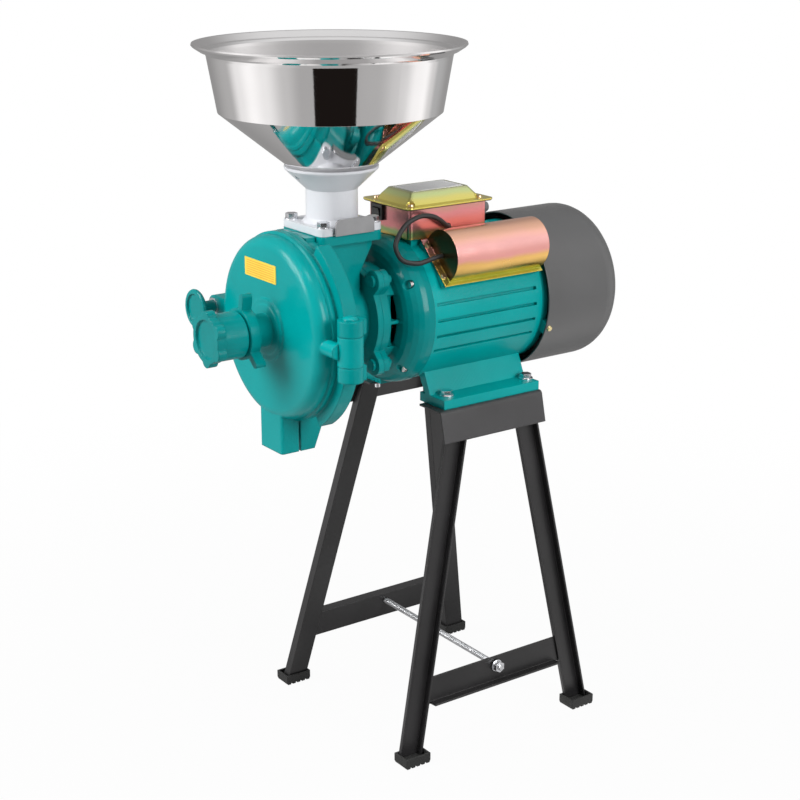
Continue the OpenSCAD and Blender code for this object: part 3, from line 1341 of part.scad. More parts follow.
// A spun hopper: spigot, cone, tapered wall and a rim that rolls outward
module hopper() {
    spigot_z = neck_top_z - 12;
    rim_r = mouth_r + rim_reach;
    mouth_z = cone_top_z + wall_h;
    t = hopper_t;
    bend = 6;
    color([0.82, 0.82, 0.84]) translate([0, hopper_y, 0]) rotate_extrude($fn = 128) polygon(concat(
        [[cone_bottom_r, spigot_z], [cone_bottom_r, neck_top_z], [shoulder_r, cone_top_z], [mouth_r,
            mouth_z - bend]],
        [for (a = [30:30:90]) [mouth_r + bend * 1.2 * (1 - cos(a)), mouth_z - bend + bend * sin(a)]],
        [[rim_r - 2, mouth_z + rim_h - 4], [rim_r, mouth_z + rim_h - 2], [rim_r - 0.5, mouth_z + rim_h],
            [rim_r - 2.5, mouth_z + rim_h - 0.5],
         [mouth_r + bend * 1.2, mouth_z + t]],
        [for (a = [60:-30:0]) [mouth_r - t + (bend + t) * 1.1 * (1 - cos(a)), mouth_z - bend + (bend + t)
            * sin(a)]],
        [[shoulder_r - t, cone_top_z + 0.6], [cone_bottom_r - t, neck_top_z + 0.6], [cone_bottom_r - t,
            spigot_z]]));
}

rail_right();
rail_left();
leg_front_right();
leg_front_left();
leg_rear_right();
leg_rear_left();
crossbar_right();
crossbar_left();
tie_rod();
tie_rod_nuts();
rubber_shoes();
foot_bolts();
motor_frame();
front_shield();
rear_shield();
shield_screws();
stator_core();
stator_windings();
rotor_core();
motor_shaft();
front_bearing();
rear_bearing();
cooling_fan();
fan_cowl();
cowl_screws();
terminal_box();
lid_gasket();
terminal_lid();
lid_screws();
lid_label();
terminal_block();
switch_body();
switch_rocker();
cable_gland();
capacitor();
capacitor_cover();
capacitor_screws();
capacitor_lead();
mill_housing();
flange_bolts();
feed_auger();
fixed_disc();
rotating_disc();
disc_screws();
front_cover();
cover_label();
hinge_pin();
adjusting_knob();
lock_ring();
thrust_pin();
clamp_knob();
clamp_washer();
inlet_neck();
neck_bolts();
feed_gate();
hopper();
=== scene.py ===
"""Electric grain mill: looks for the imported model, in metres, +Z up, the adjusting knob facing -Y."""
import math
import bpy
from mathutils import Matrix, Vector


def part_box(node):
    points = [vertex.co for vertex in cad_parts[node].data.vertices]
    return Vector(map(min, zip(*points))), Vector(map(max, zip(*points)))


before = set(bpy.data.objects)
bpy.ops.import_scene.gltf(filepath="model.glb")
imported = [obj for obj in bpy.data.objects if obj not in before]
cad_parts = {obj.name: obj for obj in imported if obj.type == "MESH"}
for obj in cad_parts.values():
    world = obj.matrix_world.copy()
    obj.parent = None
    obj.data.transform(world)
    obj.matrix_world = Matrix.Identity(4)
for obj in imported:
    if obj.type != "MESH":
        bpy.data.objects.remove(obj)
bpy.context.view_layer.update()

# ---- camera ------------------------------------------------------------------------------------
# Stands in front on the hinge side, a little above the hopper, and looks down on the machine.
camera_place = (1.6464, -1.1793, 1.0619)
camera_dip = math.radians(17.497)
camera_turn = math.radians(54.505)
camera_data = bpy.data.cameras.new("camera")
camera_data.lens = 75.29
camera_data.sensor_width = 36.0
camera_data.clip_end = 50.0
camera = bpy.data.objects.new("camera", camera_data)
camera.location = camera_place
camera.rotation_euler = (math.pi / 2 - camera_dip, 0.0, camera_turn)
bpy.context.scene.collection.objects.link(camera)
bpy.context.scene.camera = camera
bpy.context.scene.view_settings.view_transform = "Standard"

# ---- studio light ------------------------------------------------------------------------------
# A pale room: white to the camera, softer as light, and in reflections a ring of grey and bright
# panels under a pale ceiling. A large soft lamp at camera left, smaller ones at the right and above.
white = (1.0, 1.0, 1.0)
sky_tint = (0.93, 0.96, 1.0)
sky_strength = 0.2
ceiling_grey = (0.85, 0.85, 0.85)
ceiling_starts, ceiling_full = 0.5, 0.95
panel_behind = (0.5, 0.5, 0.5)
# Degrees from -Y towards +X, and how bright the panels are there.
panel_shades = ((-150, 0.34), (-100, 0.32), (-56, 0.5), (-40, 0.95), (-24, 1.15), (-8, 1.0), (13, 0.64),
                (28, 0.47), (62, 0.46), (98, 0.5), (127, 0.74), (146, 1.1), (158, 1.15), (171, 0.75))
panel_warmth = Vector((1.0, 0.985, 0.98))


def made(tree, kind, inputs=None, **settings):
    """A new node with these settings, whose inputs are fed with plain values or other sockets."""
    node = tree.nodes.new(kind)
    for name, value in settings.items():
        setattr(node, name, value)
    for key, value in (inputs or {}).items():
        socket = node.inputs[key]
        if isinstance(value, bpy.types.NodeSocket):
            tree.links.new(value, socket)
        elif socket.type == "RGBA":
            socket.default_value = (*value, 1.0)
        else:
            socket.default_value = value
    return node


def worked(tree, operation, *values):
    """The result of one step of arithmetic on numbers and sockets."""
    return made(tree, "ShaderNodeMath", dict(enumerate(values)), operation=operation).outputs[0]


def spread(tree, value, low, high, new_low=0.0, new_high=1.0, kind="LINEAR"):
    """A value from low to high, laid out from new_low to new_high and held at those ends."""
    limits = {"Value": value, "From Min": low, "From Max": high, "To Min": new_low, "To Max": new_high}
    return made(tree, "ShaderNodeMapRange", limits, interpolation_type=kind).outputs[0]


def mixed(tree, factor, a, b):
    """A colour between a and b. The node's colours are its inputs 6 and 7 and its output 2."""
    return made(tree, "ShaderNodeMix", {0: factor, 6: a, 7: b}, data_type="RGBA").outputs[2]


def ramped(tree, factor, stops):
    """A colour that eases through stops of a position and a colour, the first at 0, the last at 1."""
    node = made(tree, "ShaderNodeValToRGB", {"Fac": factor})
    ramp = node.color_ramp
    ramp.interpolation = "EASE"
    for position, colour in stops[1:-1]:
        ramp.elements.new(position).color = (*colour, 1.0)
    ramp.elements[0].color = (*stops[0][1], 1.0)
    ramp.elements[-1].color = (*stops[-1][1], 1.0)
    return node.outputs["Color"]


def panel_group():
    """Color: the studio panel that lies in the direction of Place, seen from the middle."""
    tree = bpy.data.node_groups.new("panels", "ShaderNodeTree")
    tree.interface.new_socket("Place", in_out="INPUT", socket_type="NodeSocketVector")
    tree.interface.new_socket("Color", in_out="OUTPUT", socket_type="NodeSocketColor")
    given = made(tree, "NodeGroupInput")
    parts = made(tree, "ShaderNodeSeparateXYZ", {0: given.outputs["Place"]}).outputs
    forward = worked(tree, "MULTIPLY", parts["Y"], -1.0)
    turn = worked(tree, "ARCTAN2", parts["X"], forward)
    stops = [(0.0, panel_behind)]
    for degrees, shade in panel_shades:
        stops.append(((degrees + 180.0) / 360.0, panel_warmth * shade))
    stops.append((1.0, panel_behind))
    colour = ramped(tree, spread(tree, turn, -math.pi, math.pi), stops)
    made(tree, "NodeGroupOutput", {"Color": colour})
    return tree


panels = panel_group()
world = bpy.data.worlds.new("studio")
world.use_nodes = True
bpy.context.scene.world = world
room = world.node_tree
room.nodes.clear()
room_rays = made(room, "ShaderNodeLightPath").outputs
room_place = made(room, "ShaderNodeTexCoord").outputs["Generated"]
room_ring = made(room, "ShaderNodeGroup", {"Place": room_place}, node_tree=panels).outputs["Color"]
room_height = made(room, "ShaderNodeSeparateXYZ", {0: room_place}).outputs["Z"]
room_ceiling = spread(room, room_height, ceiling_starts, ceiling_full, kind="SMOOTHSTEP")
room_shade = mixed(room, room_ceiling, room_ring, ceiling_grey)
room_light = made(room, "ShaderNodeBackground", {"Color": sky_tint, "Strength": sky_strength})
room_mirror = made(room, "ShaderNodeBackground", {"Color": room_shade})
room_white = made(room, "ShaderNodeBackground", {"Color": white})
room_unseen = made(room, "ShaderNodeMixShader",
                   {0: room_rays["Is Glossy Ray"], 1: room_light.outputs[0], 2: room_mirror.outputs[0]})
room_seen = worked(room, "MAXIMUM", room_rays["Is Camera Ray"], room_rays["Is Transmission Ray"])
room_mix = made(room, "ShaderNodeMixShader",
                {0: room_seen, 1: room_unseen.outputs[0], 2: room_white.outputs[0]})
made(room, "ShaderNodeOutputWorld", {"Surface": room_mix.outputs[0]})

mirrors = bpy.data.collections.new("mirrors")
mirrors.objects.link(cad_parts["hopper"])
mirrors.collection_objects[0].light_linking.link_state = "EXCLUDE"


def soft_lamp(name, place, target, width, height, power):
    """A rectangular lamp that faces target and leaves the mirror-bright hopper to the panels."""
    data = bpy.data.lights.new(name, "AREA")
    data.shape = "RECTANGLE"
    data.size = width
    data.size_y = height
    data.energy = power
    lamp = bpy.data.objects.new(name, data)
    lamp.location = place
    lamp.rotation_euler = (Vector(target) - Vector(place)).to_track_quat("-Z", "Y").to_euler()
    lamp.light_linking.receiver_collection = mirrors
    bpy.context.scene.collection.objects.link(lamp)


soft_lamp("lamp_left", (-0.9, -2.5, 1.9), (0.0, -0.1, 0.5), width=1.7, height=1.9, power=100.0)
soft_lamp("lamp_right", (2.7, 0.5, 1.5), (0.0, 0.0, 0.5), width=1.2, height=1.7, power=56.0)
soft_lamp("lamp_above", (0.5, -0.2, 2.8), (0.0, 0.0, 0.5), width=1.2, height=1.2, power=24.0)

# ---- floor -------------------------------------------------------------------------------------
# A wide white floor that runs into the white of the room and keeps a light shadow. Reflections see
# the panels of the room continue on it.
floor_half = 9.0
floor_grey = (0.42, 0.42, 0.42)
shadow_starts, shadow_ends = 0.3, 1.5
floor_glow_near, floor_glow_far = 0.965, 1.0


def studio_sheet(name, finish, corners):
    """A four-cornered sheet of the studio, and the empty node tree of its material."""
    mesh = bpy.data.meshes.new(name)
    mesh.from_pydata(corners, [], [(0, 1, 2, 3)])
    sheet = bpy.data.objects.new(name, mesh)
    bpy.context.scene.collection.objects.link(sheet)
    mat = bpy.data.materials.new(finish)
    mat.use_nodes = True
    mat.node_tree.nodes.clear()
    mesh.materials.append(mat)
    return sheet, mat.node_tree


floor, floor_tree = studio_sheet("floor", "floor_white",
                                 [(-floor_half, -floor_half, 0), (floor_half, -floor_half, 0),
                                  (floor_half, floor_half, 0), (-floor_half, floor_half, 0)])
floor_rays = made(floor_tree, "ShaderNodeLightPath").outputs
floor_place = made(floor_tree, "ShaderNodeTexCoord").outputs["Object"]
floor_away = made(floor_tree, "ShaderNodeVectorMath", {0: floor_place}, operation="LENGTH").outputs["Value"]
floor_share = spread(floor_tree, floor_away, shadow_starts, shadow_ends, floor_glow_near, floor_glow_far,
                     kind="SMOOTHSTEP")
floor_seen = worked(floor_tree, "MULTIPLY", floor_rays["Is Camera Ray"], floor_share)
floor_dull = made(floor_tree, "ShaderNodeBsdfDiffuse", {"Color": floor_grey})
floor_glow = made(floor_tree, "ShaderNodeEmission", {"Color": white})
floor_ring = made(floor_tree, "ShaderNodeGroup", {"Place": floor_place}, node_tree=panels)
floor_mirror = made(floor_tree, "ShaderNodeEmission", {"Color": floor_ring.outputs["Color"]})
floor_first = made(floor_tree, "ShaderNodeMixShader",
                   {0: floor_seen, 1: floor_dull.outputs[0], 2: floor_glow.outputs[0]})
floor_mix = made(floor_tree, "ShaderNodeMixShader",
                 {0: floor_rays["Is Glossy Ray"], 1: floor_first.outputs[0], 2: floor_mirror.outputs[0]})
made(floor_tree, "ShaderNodeOutputMaterial", {"Surface": floor_mix.outputs[0]})

# ---- reflection card ---------------------------------------------------------------------------
# A dark studio card low in front of the hopper, which only reflections see.
hopper_axis = (0.0, -0.1045, 0.0)
card_turn = math.radians(61.5)
card_reach = 1.2
card_half = 0.44
card_bottom, card_top = 0.05, 0.6
card_away = Vector((math.sin(card_turn), -math.cos(card_turn), 0.0)) * card_reach
card_side = Vector((math.cos(card_turn), math.sin(card_turn), 0.0)) * card_half
card_low = Vector(hopper_axis) + card_away + Vector((0.0, 0.0, card_bottom))
card_high = Vector(hopper_axis) + card_away + Vector((0.0, 0.0, card_top))
card, card_tree = studio_sheet("card", "card_black", [card_low - card_side, card_low + card_side,
                                                      card_high + card_side, card_high - card_side])
card_glow = made(card_tree, "ShaderNodeEmission", {"Color": (0.012, 0.009, 0.008)})
made(card_tree, "ShaderNodeOutputMaterial", {"Surface": card_glow.outputs[0]})
card.visible_camera = False
card.visible_diffuse = False
card.visible_shadow = False
card.visible_transmission = False

# ---- top rails ---------------------------------------------------------------------------------
# Pressed steel angle rails in satin black paint: a flat top that carries the motor's feet and a
# leaning skirt. The legs are welded inside them.


def dotted(tree, a, b):
    """The dot product: how far two directions agree, or how far along a direction a place lies."""
    return made(tree, "ShaderNodeVectorMath", {0: a, 1: b}, operation="DOT_PRODUCT").outputs["Value"]


def edge_group():
    """Edge: a mask that is 1 on sharp outer edges. Normal: the surface with its edges softened."""
    flat_likeness, sharp_likeness = 0.995, 0.86
    tree = bpy.data.node_groups.new("edges", "ShaderNodeTree")
    tree.interface.new_socket("Radius", in_out="INPUT", socket_type="NodeSocketFloat")
    tree.interface.new_socket("Edge", in_out="OUTPUT", socket_type="NodeSocketFloat")
    tree.interface.new_socket("Normal", in_out="OUTPUT", socket_type="NodeSocketVector")
    given = made(tree, "NodeGroupInput")
    soft = made(tree, "ShaderNodeBevel", {"Radius": given.outputs["Radius"]}, samples=6).outputs[0]
    true = made(tree, "ShaderNodeNewGeometry").outputs["Normal"]
    edge = spread(tree, dotted(tree, soft, true), flat_likeness, sharp_likeness)
    made(tree, "NodeGroupOutput", {"Edge": edge, "Normal": soft})
    return tree


def grain_group():
    """Blotch: broad soft patches. Grain: fine grain. Scuff: thin worn spots. All from 0 to 1."""
    tree = bpy.data.node_groups.new("grain", "ShaderNodeTree")
    kinds = (("Patch Scale", "Blotch", 3.0, 0.3, 0.7), ("Grain Scale", "Grain", 2.0, 0.3, 0.7),
             ("Scuff Scale", "Scuff", 6.0, 0.56, 0.72))
    for scale, result, *_ in kinds:
        tree.interface.new_socket(scale, in_out="INPUT", socket_type="NodeSocketFloat")
        tree.interface.new_socket(result, in_out="OUTPUT", socket_type="NodeSocketFloat")
    given = made(tree, "NodeGroupInput").outputs
    out = made(tree, "NodeGroupOutput")
    place = made(tree, "ShaderNodeTexCoord").outputs["Object"]
    for scale, result, detail, low, high in kinds:
        noise = made(tree, "ShaderNodeTexNoise", {"Vector": place, "Scale": given[scale], "Detail": detail})
        tree.links.new(spread(tree, noise.outputs["Fac"], low, high), out.inputs[result])
    return tree


edges = edge_group()
grain = grain_group()


def surface(name, colour, pale, worn, rough, uneven=0.15, metallic=0.0, coat=0.0, coat_rough=0.09, shine=0.5,
            radius=0.0012, patches=14.0, grains=700.0, scuffs=60.0, wear=0.5, bump=0.00008):
    """A material with broad patches from colour to pale, worn edges, and fine grain in its relief."""
    mat = bpy.data.materials.new(name)
    mat.use_nodes = True
    tree = mat.node_tree
    shader = tree.nodes["Principled BSDF"]
    shader.inputs["Metallic"].default_value = metallic
    shader.inputs["Coat Weight"].default_value = coat
    shader.inputs["Coat Roughness"].default_value = coat_rough
    shader.inputs["Specular IOR Level"].default_value = shine
    edge = made(tree, "ShaderNodeGroup", {"Radius": radius}, node_tree=edges, name="Edges").outputs
    scales = {"Patch Scale": patches, "Grain Scale": grains, "Scuff Scale": scuffs}
    spots = made(tree, "ShaderNodeGroup", scales, node_tree=grain).outputs
    rub = worked(tree, "MULTIPLY", worked(tree, "MULTIPLY", edge["Edge"], spots["Scuff"]), wear)
    finish = mixed(tree, rub, mixed(tree, spots["Blotch"], colour, pale), worn)
    finish.node.name = "Finish"
    dullness = spread(tree, spots["Blotch"], 0.0, 1.0, rough * (1.0 - uneven), rough * (1.0 + uneven))
    depths = {"Strength": 1.0, "Distance": bump, "Height": spots["Grain"], "Normal": edge["Normal"]}
    relief = made(tree, "ShaderNodeBump", depths, name="Relief").outputs["Normal"]
    tree.links.new(finish, shader.inputs["Base Color"])
    tree.links.new(dullness, shader.inputs["Roughness"])
    tree.links.new(relief, shader.inputs["Normal"])
    return mat


def wears(mat, *nodes):
    """Gives CAD nodes this material in all their slots."""
    for node in nodes:
        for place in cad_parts[node].material_slots:
            place.material = mat


rail_paint = surface("rail_paint", (0.030, 0.029, 0.030), (0.042, 0.041, 0.043), (0.2, 0.19, 0.18), 0.38,
                     radius=0.002, patches=9.0, grains=900.0, bump=0.00006)
wears(rail_paint, "rail_right", "rail_left")

# ---- legs --------------------------------------------------------------------------------------
# Four folded channels of black painted sheet that splay outward. Welded to the rails above, they
# stand in rubber shoes below.
leg_paint = surface("leg_paint", (0.012, 0.0116, 0.012), (0.020, 0.019, 0.020), (0.12, 0.11, 0.1), 0.34,
                    radius=0.0015, patches=11.0, grains=850.0, bump=0.00006)
wears(leg_paint, "leg_front_right", "leg_front_left", "leg_rear_right", "leg_rear_left")

# ---- crossbars ---------------------------------------------------------------------------------
# One folded bar of the same black sheet between the two legs of each side, welded at both ends.
bar_paint = surface("bar_paint", (0.011, 0.0106, 0.011), (0.019, 0.018, 0.019), (0.12, 0.11, 0.1), 0.36,
                    radius=0.0015, patches=13.0, grains=850.0, bump=0.00006)
wears(bar_paint, "crossbar_right", "crossbar_left")

# ---- rubber shoes ------------------------------------------------------------------------------
# Moulded black rubber trays with toothed soles, pushed over the legs' ends.
shoe_rubber = surface("shoe_rubber", (0.011, 0.011, 0.011), (0.021, 0.021, 0.02), (0.05, 0.05, 0.048), 0.72,
                      radius=0.0012, patches=40.0, grains=1100.0, bump=0.00016, wear=0.6)
wears(shoe_rubber, "rubber_shoes")

# ---- tie rod and its nuts ----------------------------------------------------------------------
# A zinc-plated threaded rod across the stand, drawn tight against both crossbars by nuts and washers.


def ribbed(mat, direction, inputs, depth):
    """Lays fine ridges across direction under a material's grain."""
    tree = mat.node_tree
    place = made(tree, "ShaderNodeTexCoord").outputs["Object"]
    ridges = made(tree, "ShaderNodeTexWave", {"Vector": place, **inputs}, bands_direction=direction)
    ridge_relief = made(tree, "ShaderNodeBump", {"Height": ridges.outputs["Fac"], **depth})
    tree.links.new(ridge_relief.outputs["Normal"], tree.nodes["Relief"].inputs["Normal"])


rod_zinc = surface("rod_zinc", (0.60, 0.61, 0.63), (0.76, 0.77, 0.79), (0.85, 0.86, 0.88), 0.30, metallic=1.0,
                   radius=0.0004, patches=45.0, grains=1400.0, bump=0.00004)
ribbed(rod_zinc, "X", {"Scale": 255.0}, {"Strength": 0.8, "Distance": 0.0005})
wears(rod_zinc, "tie_rod")
nut_zinc = surface("nut_zinc", (0.62, 0.63, 0.65), (0.78, 0.79, 0.82), (0.88, 0.88, 0.9), 0.26, metallic=1.0,
                   radius=0.0006, patches=70.0, grains=1500.0, bump=0.00003)
wears(nut_zinc, "tie_rod_nuts")

# ---- foot bolts --------------------------------------------------------------------------------
# Bright zinc hexagon bolts through the motor's feet and the rails, with washers and nuts.
bolt_zinc = surface("bolt_zinc", (0.66, 0.67, 0.70), (0.82, 0.83, 0.86), (0.9, 0.9, 0.92), 0.22, metallic=1.0,
                    radius=0.0006, patches=80.0, grains=1500.0, bump=0.00003)
wears(bolt_zinc, "foot_bolts")

# ---- motor frame -------------------------------------------------------------------------------
# A ribbed casting with feet, in glossy teal paint over fine turning marks. The feet stand on the rails.
glossy_teal = {"coat": 0.16, "shine": 0.1}
# The same teal paint as the other castings, set lighter here than on them: the difference is painted light on
# the frame.
frame_teal = surface("frame_teal", (0.0, 0.325, 0.322), (0.0, 0.385, 0.381), (0.05, 0.6, 0.59), 0.24,
                     radius=0.0014, patches=10.0, grains=420.0, bump=0.00006, wear=0.35, **glossy_teal)
frame_soft = frame_teal.node_tree.nodes["Edges"].outputs["Normal"]
ribbed(frame_teal, "Y", {"Scale": 150.0, "Distortion": 1.2, "Detail": 1.0},
       {"Strength": 0.5, "Distance": 0.00025, "Normal": frame_soft})
wears(frame_teal, "motor_frame")

# ---- front end shield --------------------------------------------------------------------------
# The motor's open front bell with its scalloped flange: sand casting, sprayed teal.
# The same teal paint as the other castings, set darker here: the difference is painted shade on the bell.
bell_teal = surface("bell_teal", (0.0, 0.230, 0.228), (0.0, 0.285, 0.282), (0.04, 0.48, 0.47), 0.24,
                    radius=0.0025, patches=16.0, grains=260.0, bump=0.0001, wear=0.3, **glossy_teal)
wears(bell_teal, "front_shield")

# ---- rear end shield ---------------------------------------------------------------------------
# A plain cast shield behind the frame that holds the rear bearing, mostly hidden by the fan cowl.
# The same teal paint, set darkest here: painted shade on the shield under the cowl.
tail_teal = surface("tail_teal", (0.0, 0.190, 0.187), (0.0, 0.235, 0.232), (0.04, 0.4, 0.39), 0.3, coat=0.2,
                    shine=0.12, radius=0.0015, patches=18.0, grains=260.0, bump=0.0002)
wears(tail_teal, "rear_shield")

# ---- shield screws and cowl screws -------------------------------------------------------------
# Small zinc-plated screws that pull both shields onto the frame, and golden ones that hold the fan
# cowl.
small_screw = {"metallic": 1.0, "radius": 0.0004, "patches": 90.0, "grains": 1600.0, "bump": 0.00003}
screw_zinc = surface("screw_zinc", (0.60, 0.60, 0.60), (0.78, 0.77, 0.74), (0.9, 0.9, 0.88), 0.24,
                     **small_screw)
wears(screw_zinc, "shield_screws")
cowl_screw_gold = surface("cowl_screw_gold", (0.62, 0.50, 0.26), (0.74, 0.64, 0.36), (0.85, 0.8, 0.6), 0.26,
                          **small_screw)
wears(cowl_screw_gold, "cowl_screws")

# ---- stator and windings -----------------------------------------------------------------------
# A stack of thin steel sheets gripped by the frame, with varnished copper wire in its slots.
core_steel = surface("core_steel", (0.22, 0.22, 0.23), (0.32, 0.32, 0.33), (0.5, 0.5, 0.5), 0.42,
                     metallic=0.9, patches=30.0, grains=900.0, bump=0.00005)
ribbed(core_steel, "Y", {"Scale": 320.0}, {"Distance": 0.0002})
wears(core_steel, "stator_core")
wire_copper = surface("wire_copper", (0.42, 0.14, 0.05), (0.58, 0.22, 0.08), (0.7, 0.35, 0.15), 0.35,
                      metallic=0.8, patches=50.0, grains=600.0, bump=0.0004)
wears(wire_copper, "stator_windings")

# ---- rotor, shaft and bearings -----------------------------------------------------------------
# The turning line: a ground steel shaft with the rotor pressed on it, in two sealed ball bearings.
rotor_steel = surface("rotor_steel", (0.26, 0.26, 0.27), (0.38, 0.38, 0.39), (0.6, 0.6, 0.6), 0.38,
                      metallic=0.9, patches=30.0, grains=900.0, bump=0.00005)
wears(rotor_steel, "rotor_core")
shaft_steel = surface("shaft_steel", (0.50, 0.50, 0.51), (0.62, 0.62, 0.63), (0.8, 0.8, 0.8), 0.24,
                      metallic=1.0, patches=60.0, grains=1300.0, bump=0.00003)
wears(shaft_steel, "motor_shaft")
bearing_steel = surface("bearing_steel", (0.45, 0.45, 0.46), (0.60, 0.60, 0.61), (0.8, 0.8, 0.8), 0.28,
                        metallic=1.0, patches=60.0, grains=1300.0, bump=0.00004)
wears(bearing_steel, "front_bearing", "rear_bearing")

# ---- cooling fan -------------------------------------------------------------------------------
# A moulded black fan pressed on the shaft's tail, inside the cowl.
fan_black = surface("fan_black", (0.014, 0.014, 0.015), (0.024, 0.024, 0.025), (0.06, 0.06, 0.06), 0.5,
                    patches=35.0, grains=700.0, bump=0.00012)
wears(fan_black, "cooling_fan")

# ---- fan cowl ----------------------------------------------------------------------------------
# A deep-drawn steel cowl in satin dark grey, screwed to the rear shield. Air enters at its back.
cowl_grey = surface("cowl_grey", (0.072, 0.072, 0.072), (0.088, 0.088, 0.089), (0.25, 0.25, 0.25), 0.22,
                    shine=0.7, radius=0.002, patches=7.0, grains=1100.0, bump=0.00007, wear=0.35)
wears(cowl_grey, "fan_cowl")

# ---- terminal box ------------------------------------------------------------------------------
# A pressed box in yellow chromate, whose thin film shines pink, gold and green. It sits on the frame's
# pad and closes with a rubber gasket.
upward = (0.0, 0.0, 1.0)
pink, gold, green = (0.80, 0.30, 0.30), (0.66, 0.47, 0.14), (0.30, 0.45, 0.18)


def chromate(name, axis, low, high, bands, shift):
    """Iridescent zinc: colour bands along axis between low and high, broken up by soft noise."""
    mat = surface(name, gold, gold, (0.80, 0.72, 0.40), 0.24, metallic=0.9, radius=0.0012, patches=30.0,
                  grains=1200.0, bump=0.00003, wear=0.6)
    tree = mat.node_tree
    place = made(tree, "ShaderNodeTexCoord").outputs["Object"]
    along = spread(tree, dotted(tree, place, axis), low, high)
    cloud = made(tree, "ShaderNodeTexNoise", {"Vector": place, "Scale": 22.0, "Detail": 2.0}).outputs["Fac"]
    drift = worked(tree, "MULTIPLY_ADD", cloud, shift, -shift / 2)
    band = worked(tree, "ADD", along, drift)
    # The bands take the place of the plain gold, under the worn edges.
    tree.links.new(ramped(tree, band, bands), tree.nodes["Finish"].inputs[6])
    return mat


box_low, box_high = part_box("terminal_box")
box_bands = ((0.0, gold), (0.16, green), (0.34, pink), (0.75, (0.82, 0.32, 0.33)), (1.0, (0.72, 0.36, 0.30)))
wears(chromate("box_film", upward, box_low.z, box_high.z, box_bands, 0.5), "terminal_box")
gasket_rubber = surface("gasket_rubber", (0.012, 0.012, 0.012), (0.02, 0.02, 0.02), (0.05, 0.05, 0.05), 0.7,
                        patches=40.0, grains=900.0, bump=0.0001)
wears(gasket_rubber, "lid_gasket")

# ---- terminal lid, its screws and bare plate ---------------------------------------------------
# The lid's flange is golden, its slopes turn green and its top carries a pale plate with plain grey
# lines. It is screwed down at the corners.


def printed(mat, node, across, up, margins, pitch, share, ink, strength):
    """Prints rows of plain lines on a plate: they run along across and are stacked along up."""
    tree = mat.node_tree
    low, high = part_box(node)
    place = made(tree, "ShaderNodeTexCoord").outputs["Object"]
    parts = made(tree, "ShaderNodeSeparateXYZ", {0: place}).outputs
    amount = strength
    for axis, margin in zip((across, up), margins):
        starts = getattr(low, axis.lower()) + margin
        ends = getattr(high, axis.lower()) - margin
        for operation, limit in (("GREATER_THAN", starts), ("LESS_THAN", ends)):
            amount = worked(tree, "MULTIPLY", amount, worked(tree, operation, parts[axis], limit))
    depth = worked(tree, "SUBTRACT", parts[up], getattr(low, up.lower()) + margins[1])
    row = worked(tree, "FRACT", worked(tree, "MULTIPLY", depth, 1.0 / pitch))
    amount = worked(tree, "MULTIPLY", amount, worked(tree, "LESS_THAN", row, share))
    shader = tree.nodes["Principled BSDF"]
    under = shader.inputs["Base Color"].links[0].from_socket
    tree.links.new(mixed(tree, amount, under, ink), shader.inputs["Base Color"])


lid_low, lid_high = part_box("terminal_lid")
lid_bands = ((0.0, (0.80, 0.66, 0.16)), (0.2, (0.74, 0.66, 0.18)), (0.36, (0.74, 0.66, 0.20)),
             (0.8, (0.58, 0.66, 0.30)), (1.0, (0.50, 0.52, 0.28)))
wears(chromate("lid_film", upward, lid_low.z, lid_high.z, lid_bands, 0.25), "terminal_lid")
lid_screw_gold = surface("lid_screw_gold", (0.66, 0.44, 0.28), (0.74, 0.56, 0.34), (0.88, 0.8, 0.6), 0.26,
                         **small_screw)
wears(lid_screw_gold, "lid_screws")
plate_white = surface("plate_white", (0.80, 0.80, 0.80), (0.86, 0.86, 0.86), (0.9, 0.9, 0.9), 0.34,
                      radius=0.0003, patches=60.0, grains=1200.0, bump=0.00002)
printed(plate_white, "lid_label", "Y", "X", margins=(0.006, 0.006), pitch=0.0048, share=0.22,
        ink=(0.30, 0.31, 0.32), strength=0.4)
wears(plate_white, "lid_label")

# ---- inside the terminal box -------------------------------------------------------------------
# A moulded block with three screw poles.
block_black = surface("block_black", (0.02, 0.02, 0.02), (0.03, 0.03, 0.03), (0.08, 0.08, 0.08), 0.45,
                      patches=50.0, grains=900.0, bump=0.0001)
wears(block_black, "terminal_block")

# ---- rocker switch -----------------------------------------------------------------------------
# A black snap-in frame in the box's front wall with a black rocker.
switch_black = surface("switch_black", (0.010, 0.010, 0.010), (0.018, 0.018, 0.018), (0.05, 0.05, 0.05), 0.3,
                       radius=0.0006, patches=60.0, grains=1300.0, bump=0.00004)
wears(switch_black, "switch_body")
rocker_black = surface("rocker_black", (0.014, 0.014, 0.014), (0.022, 0.022, 0.022), (0.05, 0.05, 0.05), 0.26,
                       radius=0.0006, patches=70.0, grains=1300.0, bump=0.00004)
wears(rocker_black, "switch_rocker")

# ---- cable gland -------------------------------------------------------------------------------
# A grey moulded gland in the box's rear wall, where the supply cord would enter.
gland_grey = surface("gland_grey", (0.10, 0.105, 0.11), (0.14, 0.145, 0.15), (0.25, 0.25, 0.25), 0.42,
                     radius=0.0006, patches=60.0, grains=1000.0, bump=0.00008)
wears(gland_grey, "cable_gland")

